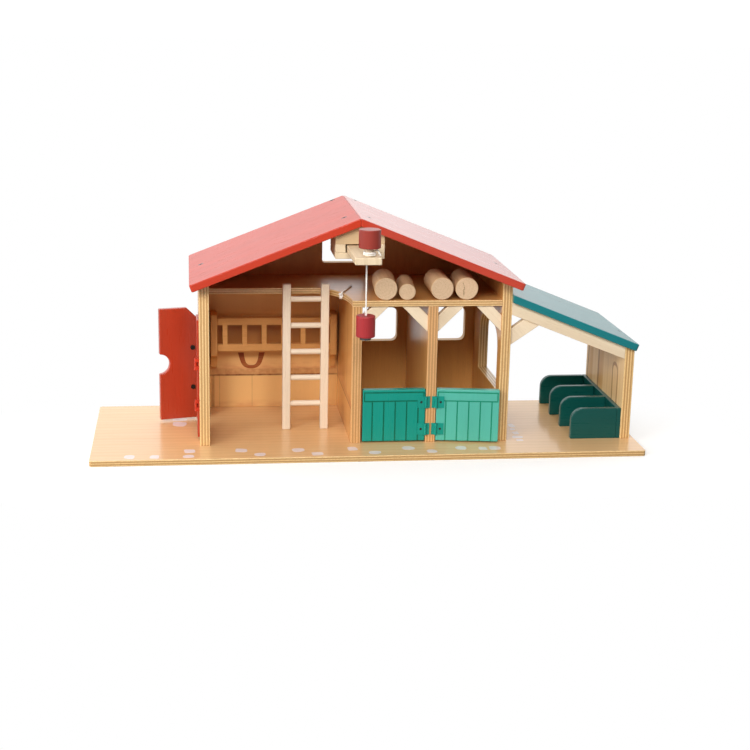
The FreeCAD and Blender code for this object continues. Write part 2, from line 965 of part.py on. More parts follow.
def arm_stop():
    """A dowel through the arm's tail that meets the block when the arm is drawn out."""
    return Part.makeCylinder(
        arm_stop_radius, arm_thickness + arm_stop_rise, point(arm_middle, arm_stop_y, arm_bottom)
    )


spindle_bottom = arm_bottom + winch_recess_depth - spindle_end_play


def winch_spindle():
    spindle = Part.makeCylinder(
        spindle_radius, knob_bottom + spindle_socket - spindle_bottom, point(knob_x, knob_y, spindle_bottom)
    )
    return spindle.cut(
        Part.makeCylinder(winch_screw_radius, winch_screw_length, point(knob_x, knob_y, spindle_bottom))
    )


def winch_screw():
    head = Part.makeCylinder(
        winch_screw_head_radius, winch_screw_head_height,
        point(knob_x, knob_y, spindle_bottom - winch_screw_head_height),
    )
    shank = Part.makeCylinder(winch_screw_radius, winch_screw_length, point(knob_x, knob_y, spindle_bottom))
    return head.fuse(shank)


def winch_knob():
    knob = Part.makeCylinder(knob_radius, knob_height, point(knob_x, knob_y, knob_bottom))
    knob = round_rims(knob, knob_edge)
    return knob.cut(Part.makeCylinder(spindle_radius, spindle_socket, point(knob_x, knob_y, knob_bottom)))


def arc_between(start, handle, end):
    """An arc from start to end that touches the lines from each of them to handle."""
    middle = (start + end) * 0.5
    half = (end - start).Length / 2
    height = (handle - middle).Length
    if height < half * 1e-6:
        return Part.LineSegment(start, end).toShape()
    crown = middle + (handle - middle) * (half * math.tan(math.atan(height / half) / 2) / height)
    return Part.Arc(start, crown, end).toShape()


def biarc(start, start_way, end, end_way):
    """Two arcs that leave start and reach end along the two directions given."""
    span = end - start
    both = start_way + end_way
    spread = 2 * (1 - start_way.dot(end_way))
    reach = span.dot(both)
    length = (math.sqrt(reach * reach + spread * span.dot(span)) - reach) / spread
    first = start + start_way * length
    second = end - end_way * length
    meet = (first + second) * 0.5
    return [arc_between(start, first, meet), arc_between(meet, second, end)]


def tube(edges, radius, start, way):
    """A round tube along joined edges, checked against its section times its length."""
    wire = Part.Wire(edges)
    ring = Part.Wire([Part.Circle(start, way, radius).toShape()])
    body = wire.makePipeShell([ring], True, False)
    expected = math.pi * radius * radius * wire.Length
    print("tube volume over section times length: %.4f" % (body.Volume / expected))
    return body


coil_radius = spindle_radius + coil_gap + cord_radius
coil_bottom = arm_top + cord_radius + coil_gap / 2
gap_points = 400


def coil_point(turn, start_angle):
    angle = start_angle - 2 * math.pi * turn
    place = point(
        knob_x + coil_radius * math.cos(angle),
        knob_y + coil_radius * math.sin(angle),
        coil_bottom + coil_pitch * turn,
    )
    around = 2 * math.pi * coil_radius
    way = point(around * math.sin(angle), -around * math.cos(angle), coil_pitch)
    return place, way.normalize()


def winch_cord():
    """The cord's turns on the spindle, with the run that leaves them for the hole in the arm."""
    reach = math.hypot(cord_x - knob_x, cord_y - knob_y)
    heading = math.atan2(cord_y - knob_y, cord_x - knob_x)
    start_angle = heading - math.acos(coil_radius / reach)
    leave, _ = coil_point(0, start_angle)
    hole = point(cord_x, cord_y, coil_bottom)
    inward = (leave - hole).normalize()
    start = hole + inward * (cord_radius + coil_gap)
    edges = [Part.LineSegment(start, leave).toShape()]
    quarters = round(coil_turns * 4)
    place, way = leave, inward
    for quarter in range(1, quarters + 1):
        following, heading_on = coil_point(quarter / 4, start_angle)
        edges += biarc(place, way, following, heading_on)
        place, way = following, heading_on
    edges.append(Part.LineSegment(place, place + way * cord_diameter).toShape())
    print("least gap between turns of the winch cord: %.2f" % least_gap(edges))
    return tube(edges, cord_radius, start, inward)


def least_gap(edges):
    """The least clear distance from the cord to itself, over points half a turn or more apart."""
    points = Part.Wire(edges).discretize(Number=gap_points)
    step = Part.Wire(edges).Length / (gap_points - 1)
    skipped = int(math.pi * coil_radius / step)
    gaps = [
        (points[later] - points[earlier]).Length
        for earlier in range(gap_points)
        for later in range(earlier + skipped, gap_points)
    ]
    return min(gaps) - cord_diameter


cord_top = coil_bottom + cord_radius
cord_foot = weight_top - cord_socket


def hoist_cord():
    """The cord's straight run, from the arm down into the weight that pulls it tight."""
    return rod(cord_radius, point(cord_x, cord_y, cord_foot), point(cord_x, cord_y, cord_top))


def hoist_cord_knot():
    """The knot that stands on the weight, around the cord."""
    ball = Part.makeSphere(knot_radius, point(cord_x, cord_y, weight_top + knot_radius))
    return ball.cut(hoist_cord())


def hoist_weight():
    bottom = weight_top - weight_height
    weight = Part.makeCylinder(weight_radius, weight_height, point(cord_x, cord_y, bottom))
    return round_rims(weight, weight_edge).cut(hoist_cord())


def hoist_magnet():
    bottom = weight_top - weight_height - magnet_height
    return Part.makeCylinder(magnet_radius, magnet_height, point(cord_x, cord_y, bottom))


def loft_tie_cord():
    """A short cord from a hole in the loft, over the loft's curved edge, ending in a knot."""
    turn = math.radians(tie_edge_turn)
    rim = point(loft_corner_x + loft_corner_reach * math.sin(turn), loft_recess * math.cos(turn), 0)
    inward = point(math.sin(turn) / loft_corner_reach, math.cos(turn) / loft_recess, 0).normalize()
    handle = rim - inward * (tie_knot_radius + tie_knot_gap) + up * (loft_top + cord_radius)
    start = point(tie_hole_x, tie_hole_y, loft_top + cord_radius)
    away = (handle - start).normalize()
    edge = handle - away * tie_bend_radius
    below = handle - up * tie_bend_radius
    end = below - up * tie_drop
    edges = [
        Part.LineSegment(start, edge).toShape(),
        arc_between(edge, handle, below),
        Part.LineSegment(below, end).toShape(),
    ]
    knot = Part.makeSphere(tie_knot_radius, end)
    return tube(edges, cord_radius, start, away).fuse(knot)


def log(across, turn, diameter):
    """A log that lies from the loft's front edge to the back, turned a little to the right."""
    start = point(across, log_setback, loft_top + log_gap + diameter / 2)
    turned = math.radians(turn)
    end = start + point(math.sin(turned), math.cos(turned), 0) * log_length
    return round_rims(rod(diameter / 2, start, end), log_edge)


# Build every piece, move it to the part's own frame and write it

def all_pieces():
    door_heights = (door_top * door_hinge_low_share, door_top * door_hinge_high_share)
    gate_heights = (gate_hinge_low, gate_hinge_high)
    front_leaf = hung_leaf(
        door_leaf(doorway_front + door_jamb_gap, 1), front_hinge, door_heights, door_thickness
    )
    rear_leaf = hung_leaf(
        door_leaf(doorway_back - door_jamb_gap, -1), rear_hinge, door_heights, door_thickness
    )
    left_leaf = hung_leaf(
        gate(divider_left - gate_hinge_gap, -1),
        left_gate_hinge, gate_heights, gate_thickness,
    )
    right_leaf = hung_leaf(
        gate(divider_right + gate_hinge_gap, 1),
        right_gate_hinge, gate_heights, gate_thickness,
    )
    front_swing = [swung(Part.makeCompound(group), front_hinge, front_door_angle)
                   for group in ([front_leaf[0]], front_leaf[2], front_leaf[4])]
    rear_swing = [swung(Part.makeCompound(group), rear_hinge, -rear_door_angle)
                  for group in ([rear_leaf[0]], rear_leaf[2], rear_leaf[4])]
    gate_swing = [swung(Part.makeCompound(group), right_gate_hinge, -right_gate_angle)
                  for group in ([right_leaf[0]], right_leaf[2], right_leaf[4])]
    screw_frames = roof_screw_frames + base_screw_frames
    pieces = {
        "base_board": drilled(base_board(), base_screw_frames),
        "left_wall": drilled(left_wall(), screw_frames),
        "right_wall": drilled(right_wall(), screw_frames),
        "back_wall": drilled(back_wall(), screw_frames),
        "room_partition": drilled(upright(partition_left), base_screw_frames),
        "stall_divider": drilled(upright(divider_left), base_screw_frames),
        "loft_floor": loft_floor(),
        "left_roof_panel": drilled(roof_panel(-1), roof_screw_frames),
        "right_roof_panel": drilled(roof_panel(1), roof_screw_frames),
        "roof_screws": screws(roof_screw_frames),
        "base_screws": screws(base_screw_frames),
        "front_door": front_swing[0],
        "front_door_hinges": front_swing[1],
        "front_door_bolts": front_swing[2],
        "rear_door": rear_swing[0],
        "rear_door_hinges": rear_swing[1],
        "rear_door_bolts": rear_swing[2],
        "door_hinge_plates": Part.makeCompound(front_leaf[1] + rear_leaf[1]),
        "door_hinge_pins": Part.makeCompound(front_leaf[3] + rear_leaf[3]),
        "left_gate": left_leaf[0],
        "left_gate_hinges": Part.makeCompound(left_leaf[2]),
        "left_gate_bolts": Part.makeCompound(left_leaf[4]),
        "right_gate": gate_swing[0],
        "right_gate_hinges": gate_swing[1],
        "right_gate_bolts": gate_swing[2],
        "gate_hinge_plates": Part.makeCompound(left_leaf[1] + right_leaf[1]),
        "gate_hinge_pins": Part.makeCompound(left_leaf[3] + right_leaf[3]),
        "stall_braces": stall_braces(),
        "ladder_left_stile": ladder_stile(ladder_left),
        "ladder_right_stile": ladder_stile(ladder_left + ladder_width - stile_width),
        "ladder_rungs": ladder_rungs(),
        "rack_left_bracket": rack_bracket(rack_left),
        "rack_right_bracket": rack_bracket(rack_right - rack_bracket_thickness),
        "rack_board": rack_board(),
        "lean_to_roof": drilled(lean_to_roof(), roof_screw_frames),
        "lean_to_wall": drilled(lean_to_wall(), screw_frames),
        "lean_to_rafter": lean_to_rafter(),
        "lean_to_brace": lean_to_brace(),
        "cubicle_panel": cubicle_panel(),
        "cubicle_dividers": cubicle_dividers(),
        "ridge_block": drilled(ridge_block(), roof_screw_frames),
        "hoist_rails": hoist_rails(),
        "hoist_guide_plate": hoist_guide_plate(),
        "hoist_arm": hoist_arm(),
        "arm_stop": arm_stop(),
        "winch_knob": winch_knob(),
        "winch_spindle": winch_spindle(),
        "winch_screw": winch_screw(),
        "winch_cord": winch_cord(),
        "hoist_cord": hoist_cord(),
        "hoist_cord_knot": hoist_cord_knot(),
        "hoist_weight": hoist_weight(),
        "hoist_magnet": hoist_magnet(),
        "loft_tie_cord": loft_tie_cord(),
    }
    free = right_inside - partition_right - sum(log_diameters)
    across = partition_right
    for index, diameter in enumerate(log_diameters):
        across += free * log_gap_shares[index]
        pieces["log_%d" % (index + 1)] = log(across + diameter / 2, log_turns[index], diameter)
        across += diameter
    return pieces


os.makedirs("parts", exist_ok=True)
for name, shape in all_pieces().items():
    shape.translate(point(-origin_x, -origin_y, base_thickness))
    if not shape.isValid():
        print("not valid:", name)
    shape.exportStep("parts/%s.step" % name)
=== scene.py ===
"""Looks of a wooden toy barn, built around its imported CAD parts."""
import math
import random

import bmesh
import bpy
from mathutils import Matrix, Quaternion, Vector


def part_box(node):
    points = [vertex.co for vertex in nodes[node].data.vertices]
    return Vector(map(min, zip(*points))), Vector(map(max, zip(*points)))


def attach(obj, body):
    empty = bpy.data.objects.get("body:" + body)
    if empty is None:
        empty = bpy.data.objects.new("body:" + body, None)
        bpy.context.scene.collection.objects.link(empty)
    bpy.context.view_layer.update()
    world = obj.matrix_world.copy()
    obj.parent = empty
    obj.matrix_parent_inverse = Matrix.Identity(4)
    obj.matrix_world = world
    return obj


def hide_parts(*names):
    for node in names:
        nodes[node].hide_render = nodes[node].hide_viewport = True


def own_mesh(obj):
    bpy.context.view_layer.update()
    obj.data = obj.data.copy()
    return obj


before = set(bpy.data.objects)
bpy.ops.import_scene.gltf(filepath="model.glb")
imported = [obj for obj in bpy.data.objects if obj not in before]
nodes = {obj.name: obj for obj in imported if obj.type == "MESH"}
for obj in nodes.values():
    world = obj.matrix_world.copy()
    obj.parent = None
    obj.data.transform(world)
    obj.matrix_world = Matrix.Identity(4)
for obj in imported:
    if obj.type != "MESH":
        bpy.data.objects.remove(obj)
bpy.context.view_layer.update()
scene = bpy.context.scene

MM = 0.001
# The barn's own layout starts at the front left foot of its left wall; this moves it to the row frame.
SHIFT = Vector((-169.0, -34.5, 6.0))


def at(x, y, z):
    """A place in the barn's layout, in millimetres, as a point of the row frame in metres."""
    return (Vector((x, y, z)) + SHIFT) * MM


def srgb(red, green, blue):
    """A colour as it is seen, from 0 to 255, as the linear colour that shaders take."""
    parts = [value / 255 for value in (red, green, blue)]
    linear = [p / 12.92 if p <= 0.04045 else ((p + 0.055) / 1.055) ** 2.4 for p in parts]
    return (*linear, 1.0)


# Camera

CAMERA_PLACE = Vector((-177.59, -1414.43, 441.06)) * MM
CAMERA_YAW = math.radians(7.52)
CAMERA_PITCH = math.radians(14.67)
CAMERA_ROLL = math.radians(1.21)
CAMERA_LENS = 69.39
CAMERA_SENSOR = 36.0


def make_camera():
    """The photograph's view, fitted to the barn's edges."""
    ahead = Vector((
        math.sin(CAMERA_YAW) * math.cos(CAMERA_PITCH),
        math.cos(CAMERA_YAW) * math.cos(CAMERA_PITCH),
        -math.sin(CAMERA_PITCH),
    ))
    level = Vector((math.cos(CAMERA_YAW), -math.sin(CAMERA_YAW), 0))
    above = level.cross(ahead)
    turn_cos = math.cos(CAMERA_ROLL)
    turn_sin = math.sin(CAMERA_ROLL)
    right = level * turn_cos + above * turn_sin
    upward = above * turn_cos - level * turn_sin
    lens = bpy.data.cameras.new("camera")
    lens.lens = CAMERA_LENS
    lens.sensor_width = CAMERA_SENSOR
    lens.clip_start = 0.05
    lens.clip_end = 60
    camera = bpy.data.objects.new("camera", lens)
    turned = Matrix((right, upward, -ahead)).transposed()
    camera.matrix_world = Matrix.Translation(CAMERA_PLACE) @ turned.to_4x4()
    scene.collection.objects.link(camera)
    scene.camera = camera


make_camera()


# Node materials

class Graph:
    """A material's nodes, written as short calls. Places come from the object's own coordinates."""

    def __init__(self, name, **fixed):
        self.material = bpy.data.materials.new(name)
        self.material.use_nodes = True
        self.tree = self.material.node_tree
        self.tree.nodes.clear()
        self.shader = self.add("ShaderNodeBsdfPrincipled")
        self.output = self.add("ShaderNodeOutputMaterial")
        self.join(self.shader.outputs[0], self.output.inputs[0])
        texture = self.add("ShaderNodeTexCoord")
        self.place = texture.outputs["Object"]
        self.normal = texture.outputs["Normal"]
        for socket, value in fixed.items():
            self.shader.inputs[socket.replace("_", " ")].default_value = value

    def add(self, kind, **settings):
        node = self.tree.nodes.new(kind)
        for name, value in settings.items():
            setattr(node, name, value)
        return node

    def join(self, source, target):
        self.tree.links.new(source, target)

    def put(self, target, value):
        """Link the target to a socket, or set it to a constant."""
        if isinstance(value, bpy.types.NodeSocket):
            self.join(value, target)
        else:
            target.default_value = value

    def shade(self, socket, value):
        self.put(self.shader.inputs[socket], value)

    def math(self, operation, first, second=0.0):
        node = self.add("ShaderNodeMath", operation=operation)
        self.put(node.inputs[0], first)
        self.put(node.inputs[1], second)
        return node.outputs[0]

    def inverse(self, mask):
        return self.math("SUBTRACT", 1.0, mask)

    def mix(self, share, first, second):
        node = self.add("ShaderNodeMix", data_type="RGBA")
        self.put(node.inputs["Factor"], share)
        self.put(node.inputs[6], first)
        self.put(node.inputs[7], second)
        return node.outputs[2]

    def span(self, value, low, high, start=0.0, end=1.0):
        """The value taken from low..high to start..end, held inside that."""
        node = self.add("ShaderNodeMapRange", clamp=True)
        for socket, number in zip(node.inputs, (value, low, high, start, end)):
            self.put(socket, number)
        return node.outputs[0]

    def step(self, value, edge, soft):
        """Goes from 0 to 1 as the value passes edge."""
        node = self.add("ShaderNodeMapRange", clamp=True, interpolation_type="SMOOTHSTEP")
        for socket, number in zip(node.inputs, (value, edge - soft, edge + soft, 0.0, 1.0)):
            self.put(socket, number)
        return node.outputs[0]

    def parts(self, vector):
        node = self.add("ShaderNodeSeparateXYZ")
        self.put(node.inputs[0], vector)
        return node.outputs

    def stretched(self, size, turn, seed):
        """Coordinates that run along the grain: one unit is as long as size says on each axis."""
        node = self.add("ShaderNodeMapping", vector_type="TEXTURE")
        self.put(node.inputs["Vector"], self.place)
        node.inputs["Location"].default_value = (seed * 0.37, seed * 0.53, seed * 0.71)
        node.inputs["Rotation"].default_value = turn
        node.inputs["Scale"].default_value = size
        return node.outputs[0]

    def noise(self, vector, scale=1.0, detail=3.0, rough=0.5):
        node = self.add("ShaderNodeTexNoise")
        self.put(node.inputs["Vector"], vector)
        node.inputs["Scale"].default_value = scale
        node.inputs["Detail"].default_value = detail
        node.inputs["Roughness"].default_value = rough
        return node.outputs["Fac"]

    def wave(self, vector, scale, twist, detail, finer):
        node = self.add("ShaderNodeTexWave", wave_type="BANDS", bands_direction="Y")
        self.put(node.inputs["Vector"], vector)
        node.inputs["Scale"].default_value = scale
        node.inputs["Distortion"].default_value = twist
        node.inputs["Detail"].default_value = detail
        node.inputs["Detail Scale"].default_value = finer
        return node.outputs["Fac"]

    def bump(self, height, depth, strength):
        node = self.add("ShaderNodeBump")
        node.inputs["Strength"].default_value = strength
        node.inputs["Distance"].default_value = depth
        self.put(node.inputs["Height"], height)
        self.shade("Normal", node.outputs[0])


# Turns that lay the grain along an axis
ALONG_X = (0.0, 0.0, 0.0)
ALONG_Y = (0.0, 0.0, math.pi / 2)
ALONG_Z = (0.0, -math.pi / 2, 0.0)


def tint(colour, factor):
    """A lighter or darker tone of a paint colour."""
    return (*[min(1.0, value * factor) for value in colour[:3]], 1.0)


def warm(colour, factor):
    """A darker tone of a wood colour: the blue falls most, as it does in real grain."""
    red, green, blue = colour[:3]
    return (red * factor, green * factor ** 1.25, blue * factor ** 1.6, 1.0)


def grain_tone(graph, turn, seed, colour, strength=1.0):
    """Colour and height of sanded wood: growth figure, streaks and short pores along the grain."""
    figure = graph.wave(graph.stretched((0.35, 0.030, 0.030), turn, seed), 1.0, 5.0, 2.0, 0.8)
    cloud = graph.noise(graph.stretched((0.20, 0.022, 0.022), turn, seed + 3), 1.0, 3.0, 0.55)
    streak = graph.noise(graph.stretched((0.050, 0.0014, 0.0014), turn, seed + 5), 1.0, 3.0, 0.6)
    pore = graph.noise(graph.stretched((0.006, 0.00035, 0.00035), turn, seed + 7), 1.0, 1.0, 0.4)
    tone = graph.mix(graph.span(cloud, 0.30, 0.70), warm(colour, 1 - 0.11 * strength), colour)
    dark_ring = graph.math("MULTIPLY", graph.span(figure, 0.62, 0.98), 0.34 * strength)
    tone = graph.mix(dark_ring, tone, warm(colour, 0.72))
    fine = graph.math("MULTIPLY", graph.span(streak, 0.50, 0.78), 0.55 * strength)
    tone = graph.mix(fine, tone, warm(colour, 0.78))
    dash = graph.math("MULTIPLY", graph.step(pore, 0.68, 0.05), 0.30 * strength)
    tone = graph.mix(dash, tone, warm(colour, 0.55))
    height = graph.math("SUBTRACT", graph.math("MULTIPLY", streak, 0.7), dash)
    return tone, height, streak


def wood(name, colour, turn, seed, strength=1.0):
    """Solid sanded wood with its grain along one direction."""
    graph = Graph(name, IOR=1.35)
    tone, height, streak = grain_tone(graph, turn, seed, colour, strength)
    graph.shade("Base Color", tone)
    graph.shade("Roughness", graph.span(streak, 0.3, 0.75, 0.44, 0.60))
    graph.bump(height, 0.00010, 0.5)
    return graph.material


PLY_FACE = srgb(226, 168, 98)
BASE_FACE = srgb(236, 192, 138)
PLY_PALE = srgb(238, 204, 146)
PLY_WARM = srgb(226, 178, 122)
PLY_DARK = srgb(184, 132, 76)
SKIN_DEPTH = 0.00012


def ply_tone(graph, node, axis, layers, turn, seed, strength=1.0, face=PLY_FACE, pale=PLY_PALE):
    """Ply: a figured face veneer, and crossed layers where the sheet's edge shows."""
    low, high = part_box(node)
    thickness = high[axis] - low[axis]
    depth = graph.math("SUBTRACT", graph.parts(graph.place)[axis], low[axis])
    tone, height, streak = grain_tone(graph, turn, seed, face, strength)
    wobble = graph.noise(graph.stretched((0.018, 0.018, 0.018), ALONG_X, seed + 11), 1.0, 2.0)
    level = graph.math("MULTIPLY", depth, layers / thickness)
    level = graph.math("ADD", level, graph.span(wobble, 0.2, 0.8, -0.10, 0.10))
    swing = graph.math("PINGPONG", level, 1.0)
    saw = graph.noise(graph.stretched((0.0011, 0.0011, 0.0011), ALONG_X, seed + 13), 1.0, 2.0)
    inner = graph.math("COMPARE", graph.math("FRACT", graph.math("MULTIPLY", level, 0.5)), 0.75)
    inner.node.inputs[2].default_value = 0.25
    glue = graph.math("MULTIPLY", graph.span(swing, 0.16, 0.02), 0.55)
    bands = graph.mix(graph.math("MULTIPLY", inner, 0.80), pale, PLY_DARK)
    bands = graph.mix(glue, bands, warm(PLY_DARK, 0.70))
    bands = graph.mix(graph.span(saw, 0.45, 0.85, 0.0, 0.45), bands, warm(PLY_DARK, 0.85))
    from_face = graph.math("MINIMUM", depth, graph.math("SUBTRACT", thickness, depth))
    edge = graph.step(from_face, SKIN_DEPTH, SKIN_DEPTH * 0.5)
    return graph.mix(edge, tone, bands), height, streak


def ply(
    node, axis, layers, turn, seed, strength=1.0, face=PLY_FACE, print_on=None,
    coat=0.6, haze=0.14, pale=PLY_PALE,
):
    """Lacquered ply; the sheet's thickness lies along the axis, and print_on adds its print."""
    graph = Graph("ply_" + node, IOR=1.35, Coat_Weight=coat, Coat_Roughness=haze)
    tone, height, streak = ply_tone(graph, node, axis, layers, turn, seed, strength, face, pale)
    if print_on:
        tone = print_on(graph, tone)
    graph.shade("Base Color", tone)
    graph.shade("Roughness", graph.span(streak, 0.3, 0.75, 0.32, 0.46))
    graph.bump(height, 0.00008, 0.45)
    return graph.material


def paint_tone(graph, colour, turn, seed):
    """Colour and height of a coat of paint: clouds, streaks along the grain and light specks."""
    cloud = graph.noise(graph.stretched((0.12, 0.03, 0.03), turn, seed), 1.0, 3.0)
    streak = graph.noise(graph.stretched((0.030, 0.0010, 0.0010), turn, seed + 5), 1.0, 3.0, 0.6)
    speck = graph.noise(graph.stretched((0.0012, 0.0007, 0.0007), turn, seed + 9), 1.0, 2.0)
    tone = graph.mix(graph.span(cloud, 0.3, 0.7), tint(colour, 0.90), tint(colour, 1.06))
    tone = graph.mix(graph.span(streak, 0.52, 0.80, 0.0, 0.30), tone, tint(colour, 0.70))
    tone = graph.mix(graph.span(speck, 0.66, 0.82, 0.0, 0.20), tone, tint(colour, 1.35))
    return tone, graph.math("ADD", streak, graph.math("MULTIPLY", speck, 0.4)), streak


def paint(name, colour, turn, seed, print_on=None, coat=0.0):
    """Satin paint on wood: the grain still shows as fine ridges and a slight change of tone."""
    graph = Graph(name, IOR=1.4, Coat_Weight=coat, Coat_Roughness=0.22)
    tone, height, streak = paint_tone(graph, colour, turn, seed)
    if print_on:
        tone = print_on(graph, tone)
    graph.shade("Base Color", tone)
    graph.shade("Roughness", graph.span(streak, 0.3, 0.75, 0.26, 0.38))
    graph.bump(height, 0.00007, 0.5)
    return graph.material


def dress(material, *names):
    """Give CAD nodes their material."""
    for name in names:
        slots = nodes[name].data.materials
        slots.clear()
        slots.append(material)


# Prints on the ply: a rail with planks below it round the left room.
# Each line has its place, its half width and its strength; the first back line, wider and darker than the
# planks' lines, lies by the corner with the left wall.

RAIL_LOW = at(0, 0, 36.0).z
RAIL_HIGH = at(0, 0, 43.0).z
RAIL_COLOUR = srgb(168, 96, 58)
LINE_COLOUR = srgb(112, 58, 34)
WASH_COLOUR = srgb(196, 116, 80)
WASH_RISE = 11 * MM
FOOT_LOW = at(0, 0, 0).z
FOOT_HIGH = at(0, 0, 9).z
# Painted light: a lighter tone on the room's back wall under the loft. Painted shade: a darker tone behind
# the rack.
ROOM_PAINTED_LIGHT = srgb(250, 206, 140)
BEHIND_RACK_PAINTED_SHADE = srgb(160, 98, 44)
BACK_PLANKS = ((15.4, 1.5, 0.70), (22.5, 0.5, 0.35), (57.6, 0.5, 0.28), (98.0, 0.5, 0.28))
SIDE_PLANKS = ((22.0, 0.5, 0.30), (62.0, 0.5, 0.34), (103.0, 0.5, 0.30))
# Painted shade: a dark upright line on the partition where the shadow of the left wall's front edge
# begins.
SIDE_SHADOW_EDGE = 41.0
PRINT_BLUR = 0.2 * MM
ROOM_LEFT = at(10, 0, 0).x
ROOM_RIGHT = at(150, 0, 0).x


def near(graph, value, middle, half):
    """1 where the value lies within half of middle."""
    apart = graph.math("ABSOLUTE", graph.math("SUBTRACT", value, middle))
    return graph.inverse(graph.step(apart, half, half * 0.25))


def between(graph, value, low, high):
    """1 where the value lies from low to high."""
    return near(graph, value, (low + high) / 2, (high - low) / 2)


def sum_of_squares(graph, first, second):
    return graph.math("ADD", graph.math("MULTIPLY", first, first), graph.math("MULTIPLY", second, second))


def first_face(graph, node, axis):
    """1 on the face of a sheet that lies lowest on the axis."""
    low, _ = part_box(node)
    value = graph.parts(graph.place)[axis]
    return graph.inverse(graph.step(value, low[axis] + 0.05 * MM, 0.02 * MM))


def both(graph, *masks):
    """1 where all the masks are 1."""
    joined = masks[0]
    for mask in masks[1:]:
        joined = graph.math("MULTIPLY", joined, mask)
    return joined


def rail_print(graph, tone, along, height, inside, planks, shadow_edge=None):
    """The printed rail with a wash of colour over it, the line under it and faint planks below, and, if
    given, an upright dark line above the rail that is painted shade.
    """
    faded = graph.noise(graph.stretched((0.004, 0.004, 0.004), ALONG_X, 41), 1.0, 3.0)
    cloud = graph.noise(graph.stretched((0.016, 0.016, 0.005), ALONG_X, 43), 1.0, 3.0)
    fall = graph.span(height, RAIL_HIGH + WASH_RISE, RAIL_HIGH)
    above = graph.step(height, RAIL_HIGH, PRINT_BLUR)
    over = both(graph, fall, above)
    foot = graph.span(height, FOOT_HIGH, FOOT_LOW)
    wash = graph.math("MAXIMUM", over, foot)
    wash = both(graph, inside, wash, graph.span(cloud, 0.35, 0.65, 0.10, 0.60))
    tone = graph.mix(wash, tone, WASH_COLOUR)
    below = graph.inverse(graph.step(height, RAIL_LOW, PRINT_BLUR))
    for place, half, strength in planks:
        plank = both(graph, inside, below, near(graph, along, place, half * MM))
        share = graph.math("MULTIPLY", plank, graph.span(faded, 0.3, 0.7, 0.6 * strength, strength))
        tone = graph.mix(share, tone, LINE_COLOUR)
    band = both(graph, inside, between(graph, height, RAIL_LOW, RAIL_HIGH))
    share = graph.math("MULTIPLY", band, graph.span(faded, 0.3, 0.7, 0.35, 0.62))
    tone = graph.mix(share, tone, RAIL_COLOUR)
    line = both(graph, inside, near(graph, height, RAIL_LOW, 0.9 * MM))
    if shadow_edge is not None:
        # painted shade: the upright dark line at the shadow's edge
        shadow_stripe = both(graph, inside, above, near(graph, along, shadow_edge, 0.7 * MM))
        line = graph.math("MAXIMUM", line, shadow_stripe)
    share = graph.math("MULTIPLY", line, graph.span(faded, 0.3, 0.7, 0.55, 0.90))
    return graph.mix(share, tone, LINE_COLOUR)


def back_print(graph, tone):
    """The left room's part of the back wall: painted light on its face under the loft, painted shade
    behind the rack, and the rail.
    """
    x, _, z = graph.parts(graph.place)
    room = between(graph, x, ROOM_LEFT, ROOM_RIGHT)
    inside = both(graph, first_face(graph, "back_wall", 1), room)
    loft_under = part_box("loft_floor")[0][2]
    under_loft = graph.inverse(graph.step(z, loft_under, PRINT_BLUR))
    rack_low, rack_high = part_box("rack_board")
    behind_rack = between(graph, z, rack_low[2], rack_high[2])
    # painted light on the back wall under the loft
    tone = graph.mix(both(graph, inside, under_loft, 0.6), tone, ROOM_PAINTED_LIGHT)
    # painted shade on the back wall behind the rack
    tone = graph.mix(both(graph, inside, behind_rack, 0.8), tone, BEHIND_RACK_PAINTED_SHADE)
    planks = [(at(place, 0, 0).x, half, strength) for place, half, strength in BACK_PLANKS]
    return rail_print(graph, tone, x, z, inside, planks)


def partition_print(graph, tone):
    _, y, z = graph.parts(graph.place)
    inside = first_face(graph, "room_partition", 0)
    planks = [(at(0, place, 0).y, half, strength) for place, half, strength in SIDE_PLANKS]
    return rail_print(graph, tone, y, z, inside, planks, at(0, SIDE_SHADOW_EDGE, 0).y)


LEAN_FACE = srgb(240, 206, 152)
HEART_GOLD = srgb(206, 158, 92)
HEART_BROWN = srgb(146, 92, 46)
HEART_BANDS = ((113.0, 132.0), (73.0, 91.0))
ARCH_MIDDLE = 30.0
ARCH_SPRING = 64.0
ARCH_RADIUS = 7.5


def heart_figure(graph, tone):
    """The veneer inside the lean-to's wall: two golden bands and one narrow arch of a growth ring."""
    _, y, z = graph.parts(graph.place)
    face = first_face(graph, "lean_to_wall", 0)
    drift = graph.noise(graph.stretched((0.16, 0.03, 0.03), ALONG_Z, 71), 1.0, 2.0)
    fine = graph.noise(graph.stretched((0.12, 0.0018, 0.0018), ALONG_Z, 73), 1.0, 3.0)
    wander = graph.math("ADD", y, graph.span(drift, 0.2, 0.8, -4 * MM, 4 * MM))
    share = graph.math("MULTIPLY", face, graph.span(fine, 0.50, 0.80, 0.0, 0.30))
    tone = graph.mix(share, tone, HEART_BROWN)
    for start, end in HEART_BANDS:
        first = at(0, start, 0).y
        last = at(0, end, 0).y
        inside = between(graph, wander, first, last)
        share = both(graph, face, inside, graph.span(fine, 0.3, 0.7, 0.60, 0.95))
        tone = graph.mix(share, tone, HEART_GOLD)
        rim = both(graph, face, near(graph, wander, last, 1.8 * MM), 0.75)
        tone = graph.mix(rim, tone, HEART_BROWN)
    spring = at(0, ARCH_MIDDLE, ARCH_SPRING)
    aside = graph.math("SUBTRACT", wander, spring.y)
    raised = graph.math("MAXIMUM", graph.math("SUBTRACT", z, spring.z), 0.0)
    reach = graph.math("SQRT", sum_of_squares(graph, aside, raised))
    arch = both(graph, face, near(graph, reach, ARCH_RADIUS * MM, 1.9 * MM), 0.65)
    return graph.mix(arch, tone, HEART_BROWN)


# Ply sheets

